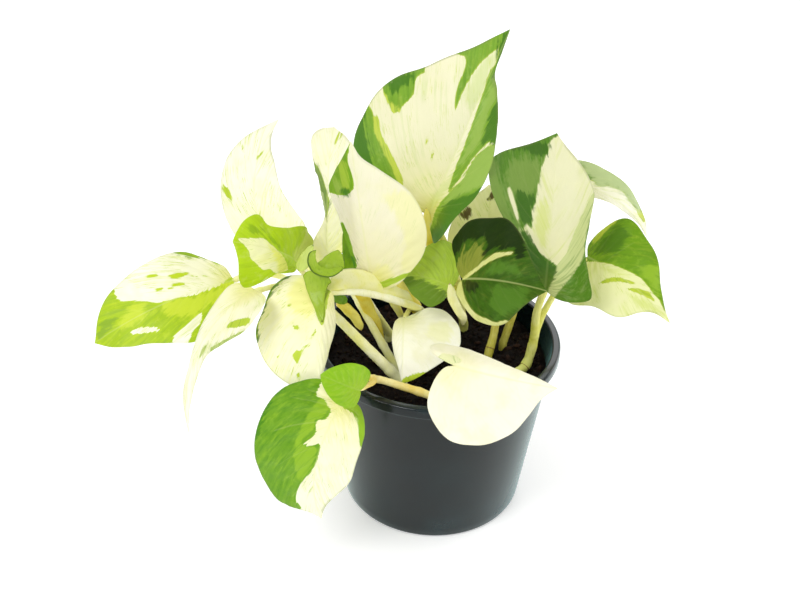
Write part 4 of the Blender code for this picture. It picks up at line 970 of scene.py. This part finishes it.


# The tones of a blade. Each attribute is a distance in mm, positive inside its tone, and the
# two UV maps hold places in tenths of a metre. Noise that is stretched along the ribs makes
# the borders run out in streaks. Cream with its washes, specks and clouds of painted soft
# shade lies under green with its fringe and blots, the blots partly painted shade and
# highlights of puckers, then lime, grey and deep, the side veins, the yellow foot, the midrib
# and the darker margin, and the underside is paler.
def leafToneGroup():
    nodes, given, put = newGroup("leafTones", toneColours, (*toneAmounts, "Seed"))
    names = ("wash", "green", "lime", "grey", "deep", "under", "veinGap", "midribGap", "marginGap")
    field = {key: nodes.attribute(key) for key in names}

    def seeded(uvMap):
        parts = nodes.add("SeparateXYZ", {0: uvMap})
        return nodes.add("CombineXYZ", {0: parts[0], 1: parts[1], 2: given["Seed"]})[0]

    blade = nodes.add("UVMap", uv_map="blade")[0]
    flat, ribs = seeded(blade), seeded(nodes.add("UVMap", uv_map="veins")[0])
    streaks = nodes.noise(ribs, (42.0, 7.0, 1.0), 4.0, 0.6)
    fineStreaks = nodes.noise(ribs, (190.0, 22.0, 1.0), 3.0, 0.6)
    washes = nodes.noise(ribs, (34.0, 5.0, 1.0), 4.0, 0.6, shift=7.0)
    specks = nodes.noise(ribs, (150.0, 30.0, 1.0), 3.0, 0.62)
    blots = nodes.noise(ribs, (38.0, 26.0, 1.0), 5.0, 0.68, 0.5)
    paleBlots = nodes.noise(ribs, (30.0, 22.0, 1.0), 5.0, 0.68, 0.5, shift=5.0)
    clouds = nodes.noise(flat, 9.0, 3.0, 0.55)
    mottle = nodes.noise(flat, 30.0, 3.0, 0.6)
    washArea = nodes.ramp(nodes.noise(flat, 6.0), 0.38, 0.62)
    speckArea = nodes.ramp(nodes.noise(flat, 12.0), 0.42, 0.6)

    wander = nodes.plus(nodes.times(nodes.minus(streaks, 0.5), given["Jag"], 5.0),
                        nodes.times(nodes.minus(fineStreaks, 0.5), given["Jag"]))
    farWander = nodes.plus(nodes.times(nodes.minus(streaks, 0.5), 9.0),
                           nodes.times(nodes.minus(mottle, 0.5), 6.0))
    greenDepth = nodes.plus(field["green"], wander)
    inGreen = nodes.ramp(greenDepth, -0.12, 0.12)

    def inTone(key, soft, far):
        return nodes.ramp(nodes.plus(field[key], nodes.times(farWander, far)), -soft, soft)

    cream = nodes.lay(
        given["Cream"],
        # painted soft shade: clouds lay a duller, greener cream over parts of the cream
        (nodes.ramp(clouds, 0.45, 0.7, 0.0, 0.4), colour(240, 238, 190)),
        (nodes.times(nodes.ramp(washes, 0.48, 0.62, 0.0, 0.75), washArea, given["Streaky"]), given["Wash"]),
        (nodes.times(inTone("wash", 1.8, 0.7), 0.7), given["Wash"]),
        (nodes.ramp(fineStreaks, 0.55, 0.75, 0.0, 0.1), colour(222, 226, 150)),
        (nodes.times(nodes.ramp(specks, 0.57, 0.63), speckArea, given["Flecks"]), given["Lime"]))
    deepTone = nodes.mix(0.5, given["Green"], given["Deep"])
    green = nodes.lay(
        given["Green"],
        (nodes.ramp(streaks, 0.42, 0.68, 0.0, 0.6), deepTone),
        # the grey mottle here and the deep and lime blots below are partly the leaf's own mottling and partly
        # painted shade and highlights of puckers
        (nodes.ramp(mottle, 0.5, 0.72, 0.0, 0.4), given["Grey"]),
        (nodes.ramp(fineStreaks, 0.55, 0.75, 0.0, 0.16), deepTone),
        (nodes.times(nodes.ramp(blots, 0.46, 0.66, 0.0, 0.5), given["Mottled"]), given["Deep"]),
        (nodes.times(nodes.ramp(paleBlots, 0.48, 0.66, 0.0, 0.5), given["Mottled"]), given["Lime"]),
        (nodes.ramp(nodes.minus(greenDepth, given["Fringe"]), -0.3, 0.3, 0.65, 0.0), given["Lime"]))
    tone = nodes.lay(
        nodes.mix(inGreen, cream, green),
        (nodes.times(inTone("lime", 0.6, 0.3), nodes.ramp(streaks, 0.36, 0.5, 0.5, 0.9)), given["Lime"]),
        (nodes.times(inTone("grey", 1.6, 0.9), 0.85), given["Grey"]),
        (nodes.times(inTone("deep", 0.9, 0.8), 0.9), given["Deep"]),
        (nodes.times(nodes.ramp(field["veinGap"], 0.08, 0.6, 1.0, 0.0), given["Veins"]), given["Rib"]))

    fromNotch = nodes.add("VectorMath", {0: blade}, operation="LENGTH")["Value"]
    glow = nodes.times(nodes.minus(1.0, nodes.times(inGreen, 0.75)), given["Glow"])
    tone = nodes.mix(nodes.times(glow, nodes.ramp(fromNotch, 0.01, 0.13, 0.6, 0.0)), tone, given["Foot"])
    wideGlow = nodes.times(glow, nodes.ramp(fromNotch, 0.02, 0.42, 0.4, 0.0))
    tone = nodes.mix(wideGlow, tone, colour(246, 240, 150), "MULTIPLY")
    inMargin = nodes.times(nodes.ramp(field["marginGap"], 0.1, 0.7, 0.9, 0.0), given["Margin"],
                           nodes.ramp(clouds, 0.4, 0.55, 0.4, 1.0))
    tone = nodes.lay(
        tone,
        (nodes.times(nodes.ramp(field["midribGap"], -0.3, 0.4, 1.0, 0.0), given["Midrib"]), given["Rib"]),
        (inMargin, nodes.mix(0.5, given["Deep"], colour(150, 150, 96))))
    tone = nodes.mix(field["under"], tone, nodes.mix(0.45, tone, colour(214, 222, 168)))

    roughness = nodes.plus(given["Shine"], nodes.times(nodes.minus(clouds, 0.5), 0.22),
                           nodes.times(field["under"], 0.15))
    relief = nodes.plus(nodes.times(fineStreaks, 0.9), nodes.times(nodes.cells(flat, 260.0), 0.25),
                        nodes.times(inGreen, 0.15))
    nodes.fill(put, {"Color": tone, "Roughness": roughness, "Height": relief})
    return nodes.tree


def leafMaterial(name, group):
    look = {**plainTones, **leafTones.get(name, {})}
    inputs = {key: colour(*look[key.lower()]) for key in toneColours}
    inputs.update({key: look[key.lower()] for key in toneAmounts}, Seed=sum(map(ord, name)) * 0.37 % 60)
    return groupMaterial(name + "_skin", group, inputs, 0.0005, {
        "Specular IOR Level": look["gloss"], "Coat Weight": look["gloss"] / 4, "Coat Roughness": 0.3})


# Stems by name. runs are points in mm with the radii at their two ends: the first run comes
# out of the soil, the others branch from it, and a leaf's name ends a run behind its notch.
# joints and scars are shares of the way along the first run. A stem without skin is pale.
stems = {
    "vine_over_rim": {"skin": "goldenStem", "joints": (0.4, 0.86), "runs": [
        [(3, -46, 80), (-4, -46, 89), (-18, -44, 93), (-28, -45, 97), (-36, -52, 102),
         "leaf_over_rim", 1.9, 1.3],
        [(-30, -47, 99), (-30, -58, 105), "leaf_small", 1.3, 0.9]]},
    "vine_left": {"joints": (0.3, 0.97), "scars": (0.97,), "runs": [
        [(-17, -27, 80), (-32, -26, 99), (-49, -22, 116), (-63, -16, 126), 2.5, 1.7],
        [(-58, -18, 123), (-72, -18, 129), "leaf_drooping_left", 1.4, 1.1],
        [(-58, -18, 123), (-74, -9, 128), (-88, -10, 130), "leaf_far_left", 1.4, 1.1],
        [(-60, -17, 124), (-63, -8, 128), (-68.6, -9.3, 136.6), 1.4, 1.1]]},
    "vine_upper_left": {"joints": (0.34, 0.62), "runs": [
        [(-20, -16, 80), (-30, -8, 97), (-42, 5, 112), (-51, 14, 121), "leaf_behind_left", 1.9, 1.3],
        [(-42, 5, 112), (-60, 14, 117), "leaf_upper_left", 1.4, 1.1]]},
    "stem_cream": {"runs": [
        [(-24, 13, 80), (-31, 4, 101), (-35, 0, 113), "leaf_cream", 2.2, 1.4]]},
    "vine_centre": {"joints": (0.34, 0.66), "runs": [
        [(-6, 17, 80), (-8, 4, 102), (-21, -11, 118), (-37, -22, 129), (-53, -28.9, 133), 2.0, 1.3],
        [(-11, 0, 107), (-14, 0, 106), "leaf_centre_front", 1.2, 0.9]]},
    "vine_back": {"skin": "limeStem", "joints": (0.48, 0.58), "runs": [
        [(14, 23, 80), (10, 14, 104), (8, 14, 116), (4, 18, 128), "leaf_tall", 2.2, 1.4],
        [(8, 14, 112), (13, 5, 119), "leaf_dark_right", 1.4, 1.1],
        [(9, 14, 106), (7, 8, 111), "leaf_green_centre", 1.4, 1.1]]},
    "stem_behind": {"skin": "oliveStem", "joints": (0.3,), "scars": (0.3,), "runs": [
        [(25, -4, 80), (28, 4, 92), (29, 14, 103), "leaf_behind_centre", 2.0, 1.3]]},
    "stem_arching": {"skin": "oliveStem", "joints": (0.5,), "runs": [
        [(33, 7, 80), (37, 14, 93), (46, 34, 114), (52, 46, 140), "leaf_arching_right", 1.9, 1.3]]},
    "vine_right": {"skin": "limeStem", "joints": (0.36, 0.5), "scars": (0.33,), "runs": [
        [(38, -18, 80), (43, -12.5, 84), (46, -8, 95), (46.5, -6, 110), "leaf_big_right", 2.3, 1.5],
        [(46.2, -8, 97), (51, -1, 108), (60, 9, 118), "leaf_far_right", 1.5, 1.1]]},
    "stem_front_right": {"runs": [
        [(17, -25, 80), (15, -38, 93), (10, -52, 105), (6.1, -61, 115.6), 1.8, 1.3]]},
}
stemShape = {
    "sides": 24, "buried": 13.0, "buriedRings": 18, "rise": 2.5, "step": 0.8, "plump": 1.08, "taper": 1.5,
    "swelling": 0.14, "jointWidth": 1.8, "scarWidth": 0.6, "branchSwelling": 0.3, "branchWidth": 2.2,
    "knee": 0.2, "kneePlace": 3.4, "kneeWidth": 1.7, "neck": 0.35, "neckLength": 1.6,
}


# The point behind a leaf's notch where its stalk ends, sunk in the underside's ridge.
def stalkEnd(name, radius, previous):
    leaf = {**plainLeaf, **leaves[name]}
    base, along, up, left, length = bladeAxes(leaf)
    midrib = unit(along * length / 3 + up * leaf["rise"][0] + left * leaf["sway"][0])
    normal = np.cross(midrib, unit(left - (midrib @ left) * midrib))
    travel = unit(base - previous)
    reach = radius * math.sqrt(1 - (travel @ normal) ** 2)
    return base - normal * (0.8 * reach) + midrib * 0.8   # 0.8 mm past the notch


# A round tube along a path: each ring is the path's point plus its radius around a circle that
# lies across the path's direction, and both ends are domes. Returned with it: the way along
# the path for each vertex, in mm.
def tube(path, radii):
    way = wayAlong(path)
    travel = unit(np.gradient(path, axis=0))
    reference = np.linalg.svd(travel)[2][-1]   # the direction most across the whole path
    first = unit(np.cross(travel, reference))
    second = np.cross(travel, first)
    sides = stemShape["sides"]
    turn = np.linspace(0, fullTurn, sides, endpoint=False)[None, :, None]
    dome = np.linspace(0, math.pi / 2, 5)[1:-1]

    def cap(k, sign):
        return path[k] + sign * travel[k] * radii[k] * np.sin(dome)[:, None], radii[k] * np.cos(dome)

    (startPath, startRadii), (endPath, endRadii) = cap(0, -1), cap(-1, 1)
    centres = np.vstack([startPath[::-1], path, endPath])
    spread = np.concatenate([startRadii[::-1], radii, endRadii])[:, None, None]
    pick = np.concatenate([[0] * len(dome), np.arange(len(path)), [len(path) - 1] * len(dome)])
    circles = np.cos(turn) * first[pick][:, None] + np.sin(turn) * second[pick][:, None]
    rings = centres[:, None] + spread * circles
    vertices, faces = closedSleeve(rings, [path[0] - travel[0] * radii[0], path[-1] + travel[-1] * radii[-1]])
    return vertices, faces, np.append(np.repeat(way[pick], sides), [way[0], way[-1]])


# A stem is a tube for each run. Its radius follows the taper, with swellings at the joints and
# where a stalk branches off, a knee and a thinner neck under the leaf, and slight unevenness.
def buildStem(name, own, material):
    shape = stemShape
    allVertices, allFaces, scars = [], [], []
    start = 0
    for index, (*points, startRadius, endRadius) in enumerate(own["runs"]):
        leaf = points.pop() if isinstance(points[-1], str) else None
        points = [np.array(p, float) for p in points]
        if leaf:
            points.append(stalkEnd(leaf, endRadius, points[-1]))
        if index == 0:
            foot = points[0]
            points[0] = foot + (0, 0, shape["rise"])
        steps = max(8, round(wayAlong(points)[-1] / shape["step"]))
        path = curveThrough(points, np.linspace(0, 1, steps))
        if index == 0:
            low = foot - (0, 0, shape["buried"])
            path = np.vstack([np.linspace(low, path[0], shape["buriedRings"])[:-1], path])
        way = wayAlong(path)
        total = way[-1]
        radii = shape["plump"] * (startRadius + (endRadius - startRadius) * (way / total) ** shape["taper"])
        scar = np.zeros(len(path))
        if index == 0:
            for joint in own.get("joints", ()):
                radii *= 1 + shape["swelling"] * bell(way - joint * total, shape["jointWidth"])
            for place in own.get("scars", ()):
                scar = np.maximum(scar, bell(way - place * total, shape["scarWidth"]))
        else:
            radii *= 1 + shape["branchSwelling"] * bell(way, shape["branchWidth"])
        if leaf:
            radii *= 1 + shape["knee"] * bell(total - way - shape["kneePlace"], shape["kneeWidth"])
            radii *= 1 - shape["neck"] * smoothStep(shape["neckLength"], 0.0, total - way)
        radii *= 1 + 0.02 * np.sin(way * 0.9 + index) + 0.015 * np.sin(way * 2.3)
        vertices, faces, ringWay = tube(path, radii)
        allVertices.append(vertices)
        allFaces += [faceSet + start for faceSet in faces]
        scars.append(np.interp(ringWay, way, scar))
        start += len(vertices)
    makePiece(name + "_stem", np.vstack(allVertices), allFaces, material,
              {"scar": np.concatenate(scars)}, replaced=[name])


# The skins of stems and sheaths: pale, yellow, green and scar tones.
skinTones = {
    "paleStem": ((252, 250, 212), (244, 240, 150), (220, 226, 128), (128, 86, 46)),
    "limeStem": ((238, 236, 150), (222, 220, 92), (176, 188, 70), (124, 84, 40)),
    "oliveStem": ((222, 212, 110), (196, 184, 60), (150, 148, 46), (112, 74, 36)),
    "goldenStem": ((250, 238, 168), (238, 210, 104), (222, 206, 100), (128, 80, 40)),
    "greenSheath": ((160, 186, 56), (144, 176, 24), (104, 140, 14), (64, 94, 14)),
    "paleGreenSheath": ((206, 222, 120), (196, 214, 92), (172, 196, 72), (120, 146, 50)),
    "darkSheath": ((116, 156, 8), (92, 138, 0), (64, 104, 0), (40, 70, 4)),
    "creamSheath": ((252, 249, 186), (244, 241, 122), (228, 232, 112), (150, 112, 60)),
    "goldenSheath": ((246, 234, 118), (238, 214, 56), (216, 204, 66), (140, 92, 44)),
}


# Stem skin: broad patches of two yellows, fine fibres along the object's height, greener
# at the soil, with brown scars where the scar attribute and the fibres together are high.
def stemToneGroup():
    nodes, given, put = newGroup("stemTones", ("Pale", "Yellow", "Green", "Scar"))
    place = nodes.objectPlace()
    scar = nodes.attribute("scar")
    broad = nodes.noise(place, 70.0, 3.0, 0.6)
    fibre = nodes.noise(place, (1400.0, 1400.0, 160.0), 3.0, 0.6)
    scarred = nodes.ramp(nodes.plus(scar, nodes.times(fibre, 0.6)), 0.85, 1.15, 0.0, 0.85)
    base = nodes.lay(
        given["Pale"],
        (nodes.ramp(broad, 0.38, 0.68), given["Yellow"]),
        (nodes.ramp(fibre, 0.5, 0.75, 0.0, 0.45), given["Green"]),
        (nodes.ramp(nodes.heightOf(place), 0.082, 0.098, 0.45, 0.0), given["Green"]),
        (scarred, given["Scar"]))
    nodes.fill(put, {"Color": base, "Roughness": nodes.ramp(broad, 0.3, 0.7, 0.36, 0.5),
                     "Height": nodes.plus(fibre, nodes.times(scar, 0.4))})
    return nodes.tree


def stemMaterial(name, group, tones):
    inputs = {key: colour(*tone) for key, tone in zip(("Pale", "Yellow", "Green", "Scar"), tones)}
    return groupMaterial(name, group, inputs, 0.0003, {"Specular IOR Level": 0.3, "Coat Weight": 0.06})


# Sheaths that wrap the stalks: points in mm with half widths, the way the hollow side
# faces, how deep the hollow is as a share of the half width, and how dark one edge is.
sheaths = {
    "creamSheath": {
        "path": [(-52.3, -28.5, 133.5), (-48.4, -26, 135.7), (-43.2, -21, 135.4), (-35.7, -15, 130.8),
                 (-26.5, -9, 123.4), (-18, -4, 116), (-11.1, 1, 106.1)],
        "widths": (0.8, 3.4, 5.4, 5.8, 4.8, 4.2, 2.4), "face": (-1, -7, 7), "cup": -0.3,
        "skin": "creamSheath"},
    "goldenSheath": {
        "path": [(-39, -9, 121), (-35, -5, 109), (-30, -4, 99), (-26, -5, 88)],
        "widths": (4.2, 3.6, 2.2, 0.8), "face": (-4, -8, 4), "cup": -0.5, "skin": "goldenSheath"},
    "oliveSheath": {
        "path": [(-20, -3, 124), (-16, -1, 116), (-12, 2, 108), (-8, 5, 100)],
        "widths": (2.8, 3.6, 3.6, 2.6), "face": (3, -8, 5), "cup": -0.5, "skin": "goldenSheath"},
    "brownSheath": {
        "path": [(-48, -17, 120), (-42, -14, 111), (-36.8, -12, 101)],
        "widths": (2.2, 3.1, 2.0), "face": (-4, -8, 5), "cup": -0.6, "skin": "goldenSheath"},
    "paleSheath": {
        "path": [(-25, -2, 117), (-21, 0, 108), (-17, 2, 98)],
        "widths": (1.8, 2.2, 1.4), "face": (0, -8, 5), "cup": -0.5, "skin": "creamSheath"},
    "hookedSheath": {
        "path": [(4, -9, 127), (6, -9, 119), (9, -8.5, 112), (12, -7, 106), (12, -3, 99)],
        "widths": (1.2, 2.4, 2.2, 2.0, 1.2), "face": (2, -8, 4), "cup": -0.6, "skin": "creamSheath"},
    "tallSheath": {
        "path": [(-7.6, 18, 152), (-7, 16.5, 147.5), (-6.4, 15, 142), (-5.2, 14.5, 135), (-1, 14.5, 126),
                 (6, 14, 117)],
        "widths": (0.8, 2.0, 2.8, 2.8, 2.4, 1.2), "face": (-1, -9, 3), "cup": -0.5, "skin": "goldenSheath"},
    "greenCup": {
        "path": [(-56.5, -27, 153.8), (-58, -28.5, 152.1), (-58.1, -30, 149.4), (-56.3, -31.5, 146.8),
                 (-53.2, -32.5, 145.7), (-49.6, -32.5, 145.5), (-46.6, -31.5, 146.5), (-44.5, -30, 147.5)],
        "widths": (0.8, 1.7, 2.1, 2.2, 2.1, 1.9, 1.5, 0.8), "face": (0, -8, 6), "cup": 0.5, "rim": 1.3,
        "skin": "greenSheath"},
    "cupLobe": {
        "path": [(-56, -30.2, 148.4), (-53.5, -30.2, 148), (-51, -29.5, 148.4), (-48, -28.6, 149),
                 (-43.9, -27.6, 149.4)],
        "widths": (1.6, 2.4, 3.6, 4.6, 5.2), "face": (0, -8, 6), "cup": 0.2, "rim": 0.6,
        "skin": "greenSheath"},
    "paleFlap": {
        "path": [(-58, -24, 154.6), (-60.6, -22.5, 148.6), (-63, -21, 143.2), (-65.4, -20, 138.6)],
        "widths": (1.2, 2.4, 3.0, 1.6), "face": (0, -8, 6), "cup": 0.1, "skin": "paleGreenSheath"},
    "greenFlap": {
        "path": [(-55.5, -31.2, 145.5), (-56.2, -31.8, 139.1), (-55.9, -33.4, 135.4), (-55.1, -36.6, 132.2),
                 (-53.9, -41, 129.8), (-53, -44.4, 127.3)],
        "widths": (8.6, 5.4, 4.0, 2.7, 1.7, 0.6), "face": (-1, -8, 6), "cup": -0.1, "skin": "greenSheath"},
    "footFlap": {
        "path": [(-45.2, -4, 153), (-44.5, -4.2, 146.1), (-43.6, -4.6, 139.9), (-43.3, -5.2, 134.9),
                 (-43.3, -6, 129.5)],
        "widths": (0.5, 1.8, 2.6, 3.3, 3.6), "face": (-1, -8, 6), "cup": 0.1, "skin": "darkSheath"},
    "greenTongue": {
        "path": [(-50.7, -19, 125.8), (-48, -18.5, 123.9), (-45.3, -18, 122), (-43.4, -18, 120.4)],
        "widths": (1.2, 2.6, 2.4, 0.8), "face": (0, -8, 6), "cup": 0.1, "skin": "darkSheath"},
}
sheathShape = {
    "rows": 40, "columns": 16, "halfThickness": 0.24, "edgeWave": 0.25, "lumps": 0.12, "lumpSize": 9.0,
}


# A sheath is a curved strip along its path: across it, a point at v from -1 to 1 lies v half
# widths to the side and sinks by cup times v squared. Its two skins meet in thin edges.
def buildSheath(name, own, material):
    shape = sheathShape
    u = np.linspace(0, 1, shape["rows"] + 1)[:, None]
    v = np.linspace(-1, 1, shape["columns"] + 1)[None, :]
    path = curveThrough(own["path"], u[:, 0])
    width = np.interp(u, np.linspace(0, 1, len(own["widths"])), own["widths"])
    width *= np.sqrt(np.clip(u * 8, 0, 1) * np.clip((1 - u) * 8, 0, 1)) * 0.95 + 0.05   # narrow to the two ends
    travel = unit(np.gradient(path, axis=0))
    side = unit(np.cross(travel, unit(np.array(own["face"], float))))
    normal = np.cross(side, travel)[:, None]
    wave = shape["edgeWave"] * np.sin(u * 17) * v ** 2
    roughPlace = np.stack([u * 30 + 0 * v, 6 * v + 0 * u], -1)
    wave = wave + shape["lumps"] * waveNoise(roughPlace, shape["lumpSize"], 11, 2)
    middle = path[:, None] + side[:, None] * (v * width)[..., None]
    lift = own["cup"] * width * v ** 2 + wave
    half = shape["halfThickness"] * np.sqrt(1 - v ** 8)
    top, bottom = middle + normal * (lift + half)[..., None], middle + normal * (lift - half)[..., None]
    rings = np.concatenate([top, bottom[:, -2:0:-1]], 1)
    vertices, faces = closedSleeve(rings, [rings[0].mean(0), rings[-1].mean(0)])
    ends = np.maximum(bell(u, 0.03), bell(1 - u, 0.05))
    around = np.concatenate([v, v[:, -2:0:-1]], 1)
    scar = np.maximum(ends, own.get("rim", 0) * bell(around - 1, 0.4))
    makePiece(name + "_strip", vertices, faces, material, {"scar": np.append(scar.ravel(), [0, 0])})


studio = {
    "world": 0.66, "floor": (250, 250, 250), "floorClouds": (246, 246, 246), "floorGlow": 0.3,
    "floorReach": 6.0, "floorHeight": -0.0002,
    # place, height of the point that it looks at, size and power
    "lights": {
        "keyLight": ((-0.5, -0.55, 0.9), 0.12, 0.5, 4.6),
        "fillLight": ((0.8, -0.4, 0.5), 0.12, 0.6, 1.1),
        "sideLight": ((0.8, 0.5, 0.3), 0.05, 0.5, 2.4),
        "backLight": ((0.2, 0.8, 0.7), 0.12, 0.5, 1.6)},
}
white = (1, 1, 1, 1)


def addLight(name, place, targetHeight, size, power):
    light = bpy.data.lights.new(name, "AREA")
    light.shape, light.size, light.energy = "DISK", size, power
    lamp = bpy.data.objects.new(name, light)
    bpy.context.collection.objects.link(lamp)
    lamp.location = place
    toTarget = unit(np.array((0, 0, targetHeight), float) - np.array(place, float))
    side = unit(np.cross(toTarget, (0, 0, 1)))
    upward = np.cross(side, toTarget)
    lamp.rotation_euler = Matrix(np.stack([side, upward, -toTarget], 1).tolist()).to_euler()


def buildStudio():
    world = bpy.data.worlds.new("studio")
    bpy.context.scene.world = world
    world.use_nodes = True
    background = world.node_tree.nodes["Background"].inputs
    Nodes(world.node_tree).fill(background, {"Color": white, "Strength": studio["world"]})
    for name, light in studio["lights"].items():
        addLight(name, *light)
    material, nodes, shader = newMaterial("paleFloor")
    clouds = nodes.ramp(nodes.noise(nodes.objectPlace(), 6.0), 0.3, 0.7, 0.0, 0.25)
    base = nodes.mix(clouds, colour(*studio["floor"]), colour(*studio["floorClouds"]))
    nodes.fill(shader, {"Base Color": base, "Roughness": 0.8, "Emission Color": white,
                        "Emission Strength": studio["floorGlow"]})
    mesh = bpy.data.meshes.new("studioFloor")
    reach, z = studio["floorReach"], studio["floorHeight"]
    corners = [(-reach, -reach, z), (reach, -reach, z), (reach, reach, z), (-reach, reach, z)]
    mesh.from_pydata(corners, [], [(0, 1, 2, 3)])
    mesh.materials.append(material)
    floor = bpy.data.objects.new("studioFloor", mesh)
    bpy.context.collection.objects.link(floor)
    bpy.context.scene.view_settings.view_transform = "Standard"


# The camera looks down by pitch and is turned a little about its own axis by roll.
cameraPlace = {
    "location": (-0.0189, -0.4678, 0.4148), "pitch": 32.99, "roll": 1.44, "lens": 52.2, "sensor": 36.0,
}


def placeCamera():
    data = bpy.data.cameras.new("camera")
    data.lens, data.sensor_width = cameraPlace["lens"], cameraPlace["sensor"]
    data.clip_start, data.clip_end = 0.01, 50.0
    camera = bpy.data.objects.new("camera", data)
    bpy.context.collection.objects.link(camera)
    tilt = Matrix.Rotation(math.radians(90 - cameraPlace["pitch"]), 4, "X")
    roll = Matrix.Rotation(math.radians(cameraPlace["roll"]), 4, "Z")
    camera.matrix_world = Matrix.Translation(cameraPlace["location"]) @ tilt @ roll
    bpy.context.scene.camera = camera


placeCamera()
buildStudio()
print("studio and camera ready")
buildPot(potMaterial())
print("pot ready")
buildSoil(soilMaterial())
print("soil ready")
stemTones = stemToneGroup()
skins = {name: stemMaterial(name, stemTones, tones) for name, tones in skinTones.items()}
for name, own in stems.items():
    buildStem(name, own, skins[own.get("skin", "paleStem")])
for name, own in sheaths.items():
    buildSheath(name, own, skins[own["skin"]])
print("stems ready")
bladeTones = leafToneGroup()
for name, own in leaves.items():
    buildLeaf(name, own, leafMaterial(name, bladeTones))
print("leaves ready")
